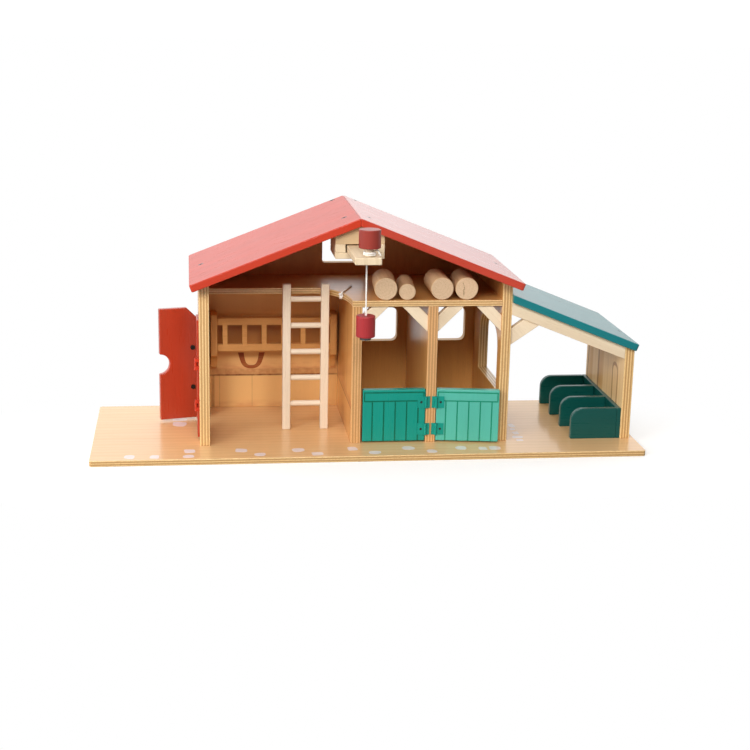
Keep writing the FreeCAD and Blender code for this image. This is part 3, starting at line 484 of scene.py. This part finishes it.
dress(ply("left_wall", 0, 7, ALONG_Z, 1), "left_wall")
dress(ply("right_wall", 0, 7, ALONG_Z, 2), "right_wall")
dress(ply("back_wall", 1, 7, ALONG_Z, 3, print_on=back_print, coat=0.0), "back_wall")
dress(ply("room_partition", 0, 7, ALONG_Z, 4, print_on=partition_print, pale=PLY_WARM), "room_partition")
dress(ply("stall_divider", 0, 7, ALONG_Z, 6, coat=1.0, haze=0.30, pale=PLY_WARM), "stall_divider")
dress(ply("loft_floor", 2, 5, ALONG_X, 8, coat=1.0, haze=0.32), "loft_floor")
dress(ply("base_board", 2, 5, ALONG_X, 9, 0.6, BASE_FACE), "base_board")
dress(ply("lean_to_wall", 0, 7, ALONG_Z, 12, 0.8, LEAN_FACE, heart_figure, coat=0.1), "lean_to_wall")

# Solid wood

PALE = srgb(244, 225, 196)
BLOCK = srgb(214, 186, 146)
LADDER = srgb(236, 220, 198)
CRANE = srgb(230, 210, 178)
# The rack and its brackets take a darker, more orange tone than the other pale wood: painted shade.
RACK_SHADED_TONE = srgb(222, 166, 100)
ROOF_PITCH = math.radians(21.5)
DOWN_RIGHT = (0.0, ROOF_PITCH, 0.0)
DIAGONAL = (0.0, math.radians(45), 0.0)
dress(wood("brace_wood", PALE, DIAGONAL, 14), "stall_braces", "lean_to_brace")
dress(wood("rafter_wood", PALE, DOWN_RIGHT, 15), "lean_to_rafter")
dress(wood("stile_wood", LADDER, ALONG_Z, 16), "ladder_left_stile", "ladder_right_stile", "arm_stop")
dress(wood("rung_wood", LADDER, ALONG_X, 17), "ladder_rungs")
dress(wood("crane_wood", CRANE, ALONG_Y, 18, 0.8), "hoist_arm", "hoist_rails", "hoist_guide_plate")
dress(wood("block_wood", BLOCK, ALONG_X, 19), "ridge_block")
dress(wood("spindle_wood", PALE, ALONG_Z, 20), "winch_spindle")
dress(wood("rack_wood", RACK_SHADED_TONE, ALONG_X, 21), "rack_board")
dress(wood("bracket_wood", RACK_SHADED_TONE, ALONG_Z, 22), "rack_left_bracket", "rack_right_bracket")

# Paint

RED = srgb(194, 58, 34)
dress(paint("red_roof_left", RED, (0.0, -ROOF_PITCH, 0.0), 24), "left_roof_panel")
dress(paint("red_roof_right", RED, DOWN_RIGHT, 25, coat=0.8), "right_roof_panel")
dress(paint("red_door", srgb(174, 57, 32), ALONG_Z, 26, coat=0.3), "front_door", "rear_door")
dress(paint("crimson", srgb(165, 48, 52), ALONG_Z, 27), "hoist_weight")
# The knob's darker brown-red is painted shade.
dress(paint("knob_red_shaded", srgb(150, 56, 46), ALONG_Z, 23), "winch_knob")
dress(paint("teal_roof", srgb(0, 120, 126), DOWN_RIGHT, 28, coat=0.38), "lean_to_roof")
dress(paint("dark_green", srgb(10, 78, 73), ALONG_X, 29), "cubicle_panel", "cubicle_dividers")

# Gates

GATE_FRONT = at(0, 0, 0).y
RIGHT_GATE_PIN = at(236.05, -1.4, 0)
RIGHT_GATE_ANGLE = math.radians(8)
GROOVE_DEPTH = 0.6 * MM


def gate_groove_tone(angle, groove):
    """Darker green in the scored grooves of a gate that stands open by this angle."""
    def darken_grooves(graph, tone):
        turned = []
        for source, centre in ((graph.place, RIGHT_GATE_PIN), (graph.normal, (0, 0, 0))):
            turn = graph.add("ShaderNodeVectorRotate", rotation_type="Z_AXIS")
            graph.put(turn.inputs["Vector"], source)
            turn.inputs["Center"].default_value = centre
            turn.inputs["Angle"].default_value = angle
            turned.append(graph.parts(turn.outputs[0]))
        depth = graph.math("SUBTRACT", turned[0][1], GATE_FRONT)
        facing = graph.step(graph.math("MULTIPLY", turned[1][1], -1.0), 0.93, 0.03)
        floor = both(graph, facing, near(graph, depth, GROOVE_DEPTH, 0.15 * MM))
        sides = graph.math("MAXIMUM", *[graph.math("ABSOLUTE", turned[1][axis]) for axis in (0, 2)])
        shallow = graph.inverse(graph.step(depth, GROOVE_DEPTH - 0.02 * MM, 0.02 * MM))
        flank = both(graph, graph.step(sides, 0.985, 0.005), shallow)
        return graph.mix(graph.math("MAXIMUM", floor, flank), tone, groove)
    return darken_grooves


# The two gates are one mint paint: the left gate takes a shaded copy and the right gate a lit copy, and
# their grooves likewise; painted shade and painted light.
MINT_SHADED = srgb(14, 150, 134)
MINT_LIT = srgb(84, 182, 164)
LEFT_GROOVES = gate_groove_tone(0.0, srgb(0, 112, 86))
RIGHT_GROOVES = gate_groove_tone(RIGHT_GATE_ANGLE, srgb(28, 146, 116))
dress(paint("mint_left_shaded", MINT_SHADED, ALONG_Z, 30, print_on=LEFT_GROOVES), "left_gate")
dress(paint("mint_right_lit", MINT_LIT, ALONG_Z, 31, print_on=RIGHT_GROOVES), "right_gate")

# Logs

LOG_SIDE = srgb(226, 190, 146)
LOG_END = srgb(218, 188, 154)
RING_STEP = 1.5 * MM


def log_wood(node, seed, crack):
    """A dowel: long grain round it, and rings, pores and perhaps a crack on its sawn ends."""
    graph = Graph("wood_" + node, IOR=1.35)
    side, height, streak = grain_tone(graph, ALONG_Y, seed, LOG_SIDE, 1.1)
    low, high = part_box(node)
    x, _, z = graph.parts(graph.place)
    wide = high[2] - low[2]
    heart_x = low[0] + wide * 0.32
    heart_z = low[2] + wide * 0.62
    bend = graph.noise(graph.stretched((0.010, 0.010, 0.010), ALONG_X, seed + 3), 1.0, 2.0)
    away_x = graph.math("SUBTRACT", x, heart_x)
    away_z = graph.math("SUBTRACT", z, heart_z)
    round_heart = graph.math("SQRT", sum_of_squares(graph, away_x, away_z))
    reach = graph.math("ADD", round_heart, graph.span(bend, 0.2, 0.8, 0.0, RING_STEP))
    ring = graph.math("PINGPONG", reach, RING_STEP)
    speck = graph.noise(graph.stretched((0.0007, 0.004, 0.0007), ALONG_X, seed + 5), 1.0, 2.0)
    end = graph.mix(graph.span(ring, 0.55 * RING_STEP, RING_STEP, 0.0, 0.30), LOG_END, warm(LOG_END, 0.80))
    end = graph.mix(graph.span(speck, 0.48, 0.72, 0.0, 0.55), end, warm(LOG_END, 0.70))
    if crack:
        wander = graph.span(bend, 0.2, 0.8, -0.002, 0.002)
        line = near(graph, graph.math("ADD", away_x, wander), 0.0, 0.45 * MM)
        short = near(graph, away_z, -0.15 * wide, 0.28 * wide)
        mark = both(graph, line, short, graph.span(speck, 0.35, 0.55))
        end = graph.mix(mark, end, warm(LOG_END, 0.35))
    sawn = graph.step(graph.math("ABSOLUTE", graph.parts(graph.normal)[1]), 0.85, 0.08)
    graph.shade("Base Color", graph.mix(sawn, side, end))
    graph.shade("Roughness", graph.span(streak, 0.3, 0.75, 0.55, 0.70))
    graph.bump(graph.math("ADD", height, speck), 0.00010, 0.4)
    return graph.material


for index in range(4):
    node = "log_%d" % (index + 1)
    dress(log_wood(node, 33 + 4 * index, index == 3), node)


# Metal

def metal(name, colour, rough, seed):
    """Plated steel with fine scratches and lighter worn places."""
    graph = Graph(name, Metallic=1.0)
    wear = graph.noise(graph.stretched((0.0016, 0.0016, 0.0016), ALONG_X, seed), 1.0, 4.0, 0.6)
    scratch = graph.noise(graph.stretched((0.004, 0.0002, 0.0002), ALONG_X, seed + 2), 1.0, 2.0)
    graph.shade("Base Color", graph.mix(graph.span(wear, 0.35, 0.75), colour, tint(colour, 1.9)))
    graph.shade("Roughness", graph.span(wear, 0.3, 0.7, rough, rough + 0.18))
    graph.bump(scratch, 0.00002, 0.4)
    return graph.material


STEEL_NODES = (
    "roof_screws", "base_screws", "front_door_bolts", "rear_door_bolts", "door_hinge_pins",
    "left_gate_bolts", "right_gate_bolts", "gate_hinge_pins", "winch_screw",
)
RED_HINGES = ("front_door_hinges", "rear_door_hinges", "door_hinge_plates")
MINT_HINGES = ("left_gate_hinges", "right_gate_hinges", "gate_hinge_plates")
dress(paint("red_hinge", RED, ALONG_Z, 37), *RED_HINGES)
# The gate hinges take the shaded copy of the mint: painted shade.
dress(paint("mint_hinge", MINT_SHADED, ALONG_Z, 38), *MINT_HINGES)
dress(metal("dark_steel", srgb(60, 54, 52), 0.24, 35), *STEEL_NODES)
dress(metal("magnet_steel", srgb(92, 90, 92), 0.30, 36), "hoist_magnet")


# Cords

CORD_DIAMETER = 1.6 * MM
CORD_RADIUS = CORD_DIAMETER / 2
STRANDS = 3
STRAND_SIDES = 7
TWISTS_PER_METRE = 230
WHITE = srgb(250, 248, 243)


def cord_material():
    """White cotton: fine fibres and a little soiling."""
    graph = Graph("white_cord", Roughness=0.85, Sheen_Weight=0.4)
    fibre = graph.noise(graph.stretched((0.0006, 0.0006, 0.0003), ALONG_X, 51), 1.0, 3.0)
    soil = graph.noise(graph.stretched((0.008, 0.008, 0.008), ALONG_X, 53), 1.0, 2.0)
    tone = graph.mix(graph.span(soil, 0.3, 0.7), tint(WHITE, 0.95), WHITE)
    graph.shade("Base Color", graph.mix(graph.span(fibre, 0.35, 0.75, 0.25, 0.0), tone, tint(WHITE, 0.80)))
    graph.bump(fibre, 0.00006, 0.6)
    return graph.material


CORD_MATERIAL = cord_material()


def route(name, points, fineness):
    """The points of a smooth line that the route's points steer."""
    curve = bpy.data.curves.new(name, "CURVE")
    curve.dimensions = "3D"
    curve.resolution_u = fineness
    spline = curve.splines.new("NURBS")
    spline.points.add(len(points) - 1)
    for place, target in zip(points, spline.points):
        target.co = (*place, 1.0)
    spline.order_u = 3
    spline.use_endpoint_u = True
    holder = bpy.data.objects.new(name, curve)
    mesh = bpy.data.meshes.new_from_object(holder)
    line = [vertex.co.copy() for vertex in mesh.vertices]
    bpy.data.meshes.remove(mesh)
    bpy.data.objects.remove(holder)
    bpy.data.curves.remove(curve)
    return line


def frames_along(line):
    """Two directions across the line at each of its points, carried along without a twist."""
    ways = []
    for index in range(len(line)):
        before = line[max(index - 1, 0)]
        after = line[min(index + 1, len(line) - 1)]
        ways.append((after - before).normalized())
    across = ways[0].orthogonal().normalized()
    frames = [(across, ways[0].cross(across))]
    for last, way in zip(ways, ways[1:]):
        across = last.rotation_difference(way) @ across
        across = (across - way * across.dot(way)).normalized()
        frames.append((across, way.cross(across)))
    return frames


def lengths_along(line):
    """The way from the line's start to each of its points."""
    total = 0.0
    found = [0.0]
    for first, second in zip(line, line[1:]):
        total += (second - first).length
        found.append(total)
    return found


def add_tube(mesh, centres, radii, sides):
    """A closed round tube along centres, added to a bmesh."""
    rings = []
    for centre, (across, over), radius in zip(centres, frames_along(centres), radii):
        ring = []
        for side in range(sides):
            angle = 2 * math.pi * side / sides
            way = across * math.cos(angle) + over * math.sin(angle)
            ring.append(mesh.verts.new(centre + way * radius))
        rings.append(ring)
    for first, second in zip(rings, rings[1:]):
        for side in range(sides):
            after = (side + 1) % sides
            mesh.faces.new((first[side], first[after], second[after], second[side]))
    mesh.faces.new(rings[0][::-1])
    mesh.faces.new(rings[-1])


def add_rope(mesh, line, radius):
    """Twisted strands round the line."""
    middle = radius / (1 + math.sin(math.pi / STRANDS))
    strand_radius = radius - middle
    places = list(zip(line, frames_along(line), lengths_along(line)))
    for strand in range(STRANDS):
        centres = []
        for centre, (across, over), length in places:
            angle = 2 * math.pi * (strand / STRANDS + length * TWISTS_PER_METRE)
            centres.append(centre + (across * math.cos(angle) + over * math.sin(angle)) * middle)
        add_tube(mesh, centres, [strand_radius] * len(centres), STRAND_SIDES)


def finished(name, mesh, material, body, smooth=True):
    """A piece of the object from a bmesh, riding on a body."""
    bmesh.ops.recalc_face_normals(mesh, faces=mesh.faces[:])
    data = bpy.data.meshes.new(name)
    mesh.to_mesh(data)
    mesh.free()
    for face in data.polygons:
        face.use_smooth = smooth
    data.materials.append(material)
    piece = bpy.data.objects.new(name, data)
    scene.collection.objects.link(piece)
    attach(piece, body)
    return piece


def rope_piece(name, line, body):
    """A cord along the line, riding on a body."""
    mesh = bmesh.new()
    add_rope(mesh, line, CORD_RADIUS)
    return finished(name, mesh, CORD_MATERIAL, body)


KNOT_POINTS = 90


def knot_line(centre, size, turn):
    """The closed line of an overhand knot."""
    line = []
    for index in range(KNOT_POINTS + 1):
        angle = 2 * math.pi * index / KNOT_POINTS
        place = Vector((
            math.sin(angle) + 2 * math.sin(2 * angle),
            math.cos(angle) - 2 * math.cos(2 * angle),
            -1.4 * math.sin(3 * angle),
        ))
        line.append(centre + turn @ (place * size))
    return line


def level(node, end):
    """The height of a node's bottom (end 0) or top (end 1) in the barn's layout."""
    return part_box(node)[end][2] / MM - SHIFT.z


# The run hangs from the arm's hole down to the knot over the weight, and rides on the arm
CORD_X = 156.0
CORD_Y = -57.9
ARM_UNDER = level("hoist_arm", 0)
ARM_OVER = level("hoist_arm", 1)
WEIGHT_TOP = level("hoist_weight", 1)
KNOT_RISE = 4.0
hoist_points = [at(CORD_X, CORD_Y, z) for z in (ARM_UNDER, 181.0, 165.0, WEIGHT_TOP + KNOT_RISE)]
hoist_line = route("hoist_route", hoist_points, 64)
hoist = rope_piece("hoist_line", hoist_line, "crane_arm")
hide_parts("hoist_cord")
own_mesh(hoist)


def make_hoist_knot():
    """The knot over a small loop that goes into the weight."""
    mesh = bmesh.new()
    middle = at(CORD_X, CORD_Y, WEIGHT_TOP + KNOT_RISE)
    tilt = Quaternion((1, 0, 0), math.radians(70))
    add_rope(mesh, knot_line(middle, 0.36 * MM, tilt), 0.45 * MM)
    for side in (-1, 1):
        leg = [
            (CORD_X + side * 0.35, CORD_Y, WEIGHT_TOP - 2.0),
            (CORD_X + side * 0.40, CORD_Y, WEIGHT_TOP + 0.4),
            (CORD_X + side * 0.75, CORD_Y, WEIGHT_TOP + 1.9),
            (CORD_X + side * 0.40, CORD_Y, WEIGHT_TOP + KNOT_RISE),
        ]
        add_rope(mesh, route("leg_route", [at(*place) for place in leg], 24), 0.5 * MM)
    knot = finished("hoist_knot", mesh, CORD_MATERIAL, "crane_load")
    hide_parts("hoist_cord_knot")
    return knot


make_hoist_knot()

# Turns on the spindle, with the run up through the arm's hole and a loose end
KNOB_X = 157.0
KNOB_Y = -69.4
COIL_RADIUS = 5.28
COIL_PITCH = 1.8
COIL_LOW = ARM_OVER + 0.95
COIL_START = math.radians(31.2)
COIL_STEPS = 16
COIL_TURNS = 2


def winch_route():
    """The line of the winch cord: up through the arm, round the spindle and out to its loose end."""
    points = [
        (CORD_X, CORD_Y, ARM_UNDER), (CORD_X, CORD_Y, ARM_UNDER + 3.1), (CORD_X, CORD_Y, ARM_OVER - 0.3),
        (156.3, -58.4, ARM_OVER + 1.7), (158.2, -61.5, ARM_OVER + 1.2), (160.0, -64.4, COIL_LOW),
    ]
    for step in range(COIL_STEPS * COIL_TURNS + 1):
        turn = step / COIL_STEPS
        angle = COIL_START - 2 * math.pi * turn
        points.append((
            KNOB_X + COIL_RADIUS * math.cos(angle),
            KNOB_Y + COIL_RADIUS * math.sin(angle),
            COIL_LOW + COIL_PITCH * turn,
        ))
    tail = [
        (162.6, -69.2, 5.0), (163.6, -71.0, 6.4), (164.6, -71.8, 5.6),
        (165.8, -72.6, 3.0), (167.0, -73.4, 0.9),
    ]
    points += [(x, y, ARM_OVER + rise) for x, y, rise in tail]
    return route("winch_route", [at(*place) for place in points], 8)


winch_line = winch_route()
winch = rope_piece("winch_line", winch_line, "crane_arm")
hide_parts("winch_cord")

# The tie cord comes up through the loft, lies over its edge and ends in a frayed knot
TIE_HOLE_X = 156.0
TIE_HOLE_Y = 70.0
TIE_KNOT = (142.1, 34.3, 145.3)
FRAYED_THREADS = 9
tie_places = [
    (TIE_HOLE_X, TIE_HOLE_Y, 141.2), (TIE_HOLE_X, TIE_HOLE_Y, 144.6), (TIE_HOLE_X, TIE_HOLE_Y, 147.3),
    (154.6, 66.4, 146.95), (152.0, 60.4, 146.85), (149.6, 52.8, 146.85), (146.4, 45.9, 146.85),
    (144.4, 40.3, 146.9), (142.8, 36.2, 146.8), TIE_KNOT,
]
tie_line = route("tie_route", [at(*place) for place in tie_places], 24)
tie = rope_piece("tie_line", tie_line, "barn")
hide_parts("loft_tie_cord")


def make_tie_knot():
    """The knot at the tie cord's end, with its frayed threads."""
    mesh = bmesh.new()
    middle = Vector(TIE_KNOT)
    turn = Quaternion((0.9, 0.2, 0.3), math.radians(75))
    add_rope(mesh, knot_line(at(*middle), 0.72 * MM, turn), 0.8 * MM)
    for index in range(FRAYED_THREADS):
        angle = 2 * math.pi * index / FRAYED_THREADS
        spread = Vector((math.cos(angle), math.sin(angle), 0))
        hair = [
            middle + spread * 0.4,
            middle + spread * 0.7 - Vector((0, 0, 2.2)),
            middle + spread * 1.5 - Vector((0, 0, 4.0 + 0.4 * math.sin(3 * angle))),
        ]
        line = route("hair_route", [at(*place) for place in hair], 8)
        add_tube(mesh, line, [0.24 * MM] * len(line), 6)
    return finished("tie_knot", mesh, CORD_MATERIAL, "barn")


make_tie_knot()


# Printed stones on the base board, and a printed horseshoe on the back wall

# Each stone has the place of its middle, its width and its depth
STONES = (
    (-10.4, -16.4, 10.5, 11.6), (-11.3, -33.0, 10.4, 9.0), (-20.0, 94.0, 14.6, 9.6),
    (-20.5, 77.0, 13.8, 16.0), (-68.0, -31.5, 9.6, 12.0), (-44.0, -32.5, 8.6, 11.0),
    (40.0, -17.0, 12.0, 11.0), (58.0, -31.0, 10.5, 10.0), (96.0, -19.0, 11.5, 11.5),
    (114.0, -32.0, 12.0, 9.5), (150.0, -18.0, 10.0, 11.0), (171.0, -31.5, 11.5, 10.0),
    (206.0, -19.5, 12.5, 10.5), (228.0, -31.0, 10.0, 10.0), (259.0, -22.0, 11.0, 11.0),
    (280.5, -25.0, 8.6, 9.5), (292.8, -24.5, 12.0, 11.0), (323.8, 0.3, 7.2, 7.0),
    (323.9, 11.0, 10.7, 9.0), (325.2, 25.0, 6.6, 9.4), (324.8, 38.6, 5.4, 6.4), (326.6, 51.5, 6.0, 13.0),
)
STONE_POINTS = 36
STONE_RIPPLE = 0.045
STONE_SQUARENESS = 0.62
PRINT_LIFT = 0.08
PRINT_SINK = 0.05


def add_plate(mesh, outline, depth):
    """A thin closed plate: the outline, and the same outline moved by depth."""
    near_side = [mesh.verts.new(place) for place in outline]
    far_side = [mesh.verts.new(place + depth) for place in outline]
    mesh.faces.new(near_side)
    mesh.faces.new(far_side[::-1])
    for index in range(len(outline)):
        after = (index + 1) % len(outline)
        mesh.faces.new((near_side[index], far_side[index], far_side[after], near_side[after]))


def print_material(name, colour, worn, scale, seed, coat=0.0):
    """Thin print on ply, worn along the grain."""
    graph = Graph(name, IOR=1.35, Coat_Weight=coat, Coat_Roughness=0.14)
    blot = graph.noise(graph.stretched((scale, scale, scale), ALONG_X, seed), 1.0, 4.0, 0.6)
    fine = graph.noise(graph.stretched((0.03, 0.001, 0.001), ALONG_X, seed + 2), 1.0, 3.0)
    tone = graph.mix(graph.span(blot, 0.35, 0.70), colour, tint(colour, 0.88))
    graph.shade("Base Color", graph.mix(graph.span(fine, 0.50, 0.80, 0.0, 0.55), tone, worn))
    graph.shade("Roughness", graph.span(blot, 0.3, 0.7, 0.45, 0.6))
    graph.bump(fine, 0.00004, 0.4)
    return graph.material


def squared_off(value):
    return math.copysign(abs(value) ** STONE_SQUARENESS, value)


def make_stones():
    """Rounded stones, each with its own uneven outline."""
    draw = random.Random(7)
    mesh = bmesh.new()
    for x, y, width, depth in STONES:
        phases = [draw.uniform(0, 2 * math.pi) for _ in range(3)]
        outline = []
        for index in range(STONE_POINTS):
            angle = 2 * math.pi * index / STONE_POINTS
            ripples = [math.sin((order + 2) * angle + phase) for order, phase in enumerate(phases)]
            wave = 1 + STONE_RIPPLE * sum(ripples)
            across = squared_off(math.cos(angle)) * wave * width / 2
            along = squared_off(math.sin(angle)) * wave * depth / 2
            outline.append(at(x + across, y + along, -PRINT_SINK))
        add_plate(mesh, outline, Vector((0, 0, PRINT_LIFT + PRINT_SINK)) * MM)
    paint_white = print_material("stone_print", srgb(240, 226, 224), srgb(228, 196, 168), 0.006, 61, 0.6)
    return finished("stone_path", mesh, paint_white, "barn", smooth=False)


make_stones()

# One half of the horseshoe, from its heel to its toe
SHOE_X = 56.8
SHOE_Z = 42.9
SHOE_OUTER = ((14.4, 18.0), (13.4, 14.0), (12.2, 10.0), (10.9, 6.2), (8.6, 2.9), (5.0, 0.7), (0.0, 0.0))
SHOE_INNER = ((8.2, 18.0), (7.6, 14.0), (7.0, 10.4), (5.9, 7.0), (4.4, 5.0), (2.5, 4.1), (0.0, 3.9))
WALL_FRONT = 139.0


def shoe_side(half):
    """One edge of the horseshoe, from its left heel round the toe to its right heel."""
    places = [(-x, z) for x, z in half] + list(half[-2::-1])
    line = [at(SHOE_X + x, WALL_FRONT + PRINT_SINK, SHOE_Z + z) for x, z in places]
    return route("shoe_route", line, 4)


def make_horseshoe():
    mesh = bmesh.new()
    outline = shoe_side(SHOE_OUTER) + shoe_side(SHOE_INNER)[::-1]
    add_plate(mesh, outline, Vector((0, -PRINT_LIFT - PRINT_SINK, 0)) * MM)
    brown = print_material("horseshoe_print", srgb(160, 84, 44), srgb(194, 126, 70), 0.003, 65)
    return finished("horseshoe_print", mesh, brown, "barn", smooth=False)


make_horseshoe()


# Stage and light

WORLD_LEVEL = 0.09
BACK_LEVEL = 1.6
REFLECTED_LOW = 0.15
REFLECTED_HIGH = 1.3
SHADOW_REACH = 0.12
FLOOR_GLOW = 0.30
FLOOR_BOUNCE = (0.35, 0.34, 0.33, 1.0)
FLOOR_HALF = 14.0
LAMP_COLOUR = (1.0, 0.985, 0.965)
LAMP_TARGET = (0.0, 0.0, 0.1)


def make_floor():
    """White paper: it keeps a soft shadow close round the base board and is plain white beyond."""
    graph = Graph("floor")
    x, y, _ = graph.parts(graph.place)
    low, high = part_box("base_board")
    past = []
    for value, start, end in ((x, low[0], high[0]), (y, low[1], high[1])):
        apart = graph.math("ABSOLUTE", graph.math("SUBTRACT", value, (start + end) / 2))
        past.append(graph.math("MAXIMUM", graph.math("SUBTRACT", apart, (end - start) / 2), 0.0))
    reach = graph.math("SQRT", sum_of_squares(graph, *past))
    behind = graph.span(y, low[1], high[1])
    far = graph.math("MAXIMUM", graph.span(reach, 0.0, SHADOW_REACH), behind)
    mottle = graph.noise(graph.place, 40.0, 2.0)
    graph.tree.nodes.remove(graph.shader)
    matte = graph.add("ShaderNodeBsdfDiffuse")
    ray = graph.add("ShaderNodeLightPath").outputs
    seen = graph.math("MAXIMUM", ray["Is Camera Ray"], ray["Is Transmission Ray"])
    paper = graph.mix(mottle, srgb(226, 225, 224), srgb(232, 231, 230))
    bounce = graph.mix(behind, FLOOR_BOUNCE, paper)
    graph.put(matte.inputs["Color"], graph.mix(seen, bounce, paper))
    glow = graph.add("ShaderNodeEmission")
    glow.inputs["Color"].default_value = (1, 1, 1, 1)
    graph.put(glow.inputs["Strength"], graph.math("MULTIPLY", seen, FLOOR_GLOW))
    lit = graph.add("ShaderNodeAddShader")
    graph.join(matte.outputs[0], lit.inputs[0])
    graph.join(glow.outputs[0], lit.inputs[1])
    white = graph.add("ShaderNodeEmission")
    white.inputs["Color"].default_value = (1, 1, 1, 1)
    blend = graph.add("ShaderNodeMixShader")
    graph.put(blend.inputs[0], graph.math("MULTIPLY", seen, far))
    graph.join(lit.outputs[0], blend.inputs[1])
    graph.join(white.outputs[0], blend.inputs[2])
    graph.join(blend.outputs[0], graph.output.inputs[0])
    mesh = bpy.data.meshes.new("floor")
    corners = [(x * FLOOR_HALF, y * FLOOR_HALF, 0) for x, y in ((-1, -1), (1, -1), (1, 1), (-1, 1))]
    mesh.from_pydata(corners, [], [(0, 1, 2, 3)])
    mesh.materials.append(graph.material)
    floor = bpy.data.objects.new("floor", mesh)
    scene.collection.objects.link(floor)


def make_world():
    """White where it is seen, bright behind and above, and dim in front."""
    world = bpy.data.worlds.new("studio")
    scene.world = world
    world.use_nodes = True
    tree = world.node_tree
    tree.nodes.clear()

    def value_node(kind, operation, *inputs):
        node = tree.nodes.new(kind)
        if operation:
            node.operation = operation
        for value, socket in zip(inputs, node.inputs):
            if isinstance(value, bpy.types.NodeSocket):
                tree.links.new(value, socket)
            else:
                socket.default_value = value
        return node.outputs[0]

    ray = tree.nodes.new("ShaderNodeLightPath").outputs
    seen = value_node("ShaderNodeMath", "MAXIMUM", ray["Is Camera Ray"], ray["Is Transmission Ray"])
    way = tree.nodes.new("ShaderNodeSeparateXYZ")
    tree.links.new(tree.nodes.new("ShaderNodeTexCoord").outputs["Generated"], way.inputs[0])
    behind = value_node("ShaderNodeMapRange", None, way.outputs[1], 0.0, 0.6, 0.0, 1.0)
    above = value_node("ShaderNodeMapRange", None, way.outputs[2], 0.2, 0.9, 0.0, 1.0)
    paper = value_node("ShaderNodeMath", "MAXIMUM", behind, above)
    ceiling = value_node("ShaderNodeMapRange", None, paper, 0.0, 1.0, REFLECTED_LOW, REFLECTED_HIGH)
    glossy = value_node("ShaderNodeMath", "MULTIPLY", ray["Is Glossy Ray"], ceiling)
    dim = value_node("ShaderNodeMath", "SUBTRACT", 1.0, ray["Is Glossy Ray"])
    backing = value_node("ShaderNodeMapRange", None, behind, 0.0, 1.0, WORLD_LEVEL, BACK_LEVEL)
    fill = value_node("ShaderNodeMath", "MULTIPLY", dim, backing)
    lit = value_node("ShaderNodeMath", "ADD", glossy, fill)
    strength = value_node("ShaderNodeMath", "MAXIMUM", lit, seen)
    sky = tree.nodes.new("ShaderNodeBackground")
    sky.inputs["Color"].default_value = (1, 1, 1, 1)
    tree.links.new(strength, sky.inputs["Strength"])
    out = tree.nodes.new("ShaderNodeOutputWorld")
    tree.links.new(sky.outputs[0], out.inputs[0])


def make_lamp(name, place, size, power, target=LAMP_TARGET):
    """A rectangle of light that faces its target."""
    lamp = bpy.data.lights.new(name, "AREA")
    lamp.shape = "RECTANGLE"
    lamp.size, lamp.size_y = size
    lamp.energy = power
    lamp.color = LAMP_COLOUR
    holder = bpy.data.objects.new(name, lamp)
    holder.location = place
    holder.rotation_mode = "QUATERNION"
    holder.rotation_quaternion = (Vector(target) - Vector(place)).to_track_quat("-Z", "Y")
    scene.collection.objects.link(holder)


make_floor()
make_world()
make_lamp("top_lamp", (-0.20, -0.45, 1.60), (1.5, 1.3), 3.0)
make_lamp("key_lamp", (-1.45, -1.60, 1.20), (0.9, 0.8), 26.0)
make_lamp("front_lamp", (-0.25, -1.80, 1.28), (1.0, 0.6), 25.0)
make_lamp("left_lamp", (-1.95, -0.60, 0.62), (0.6, 0.6), 14.0, (0.0, 0.0, 0.08))
scene.view_settings.view_transform = "Standard"
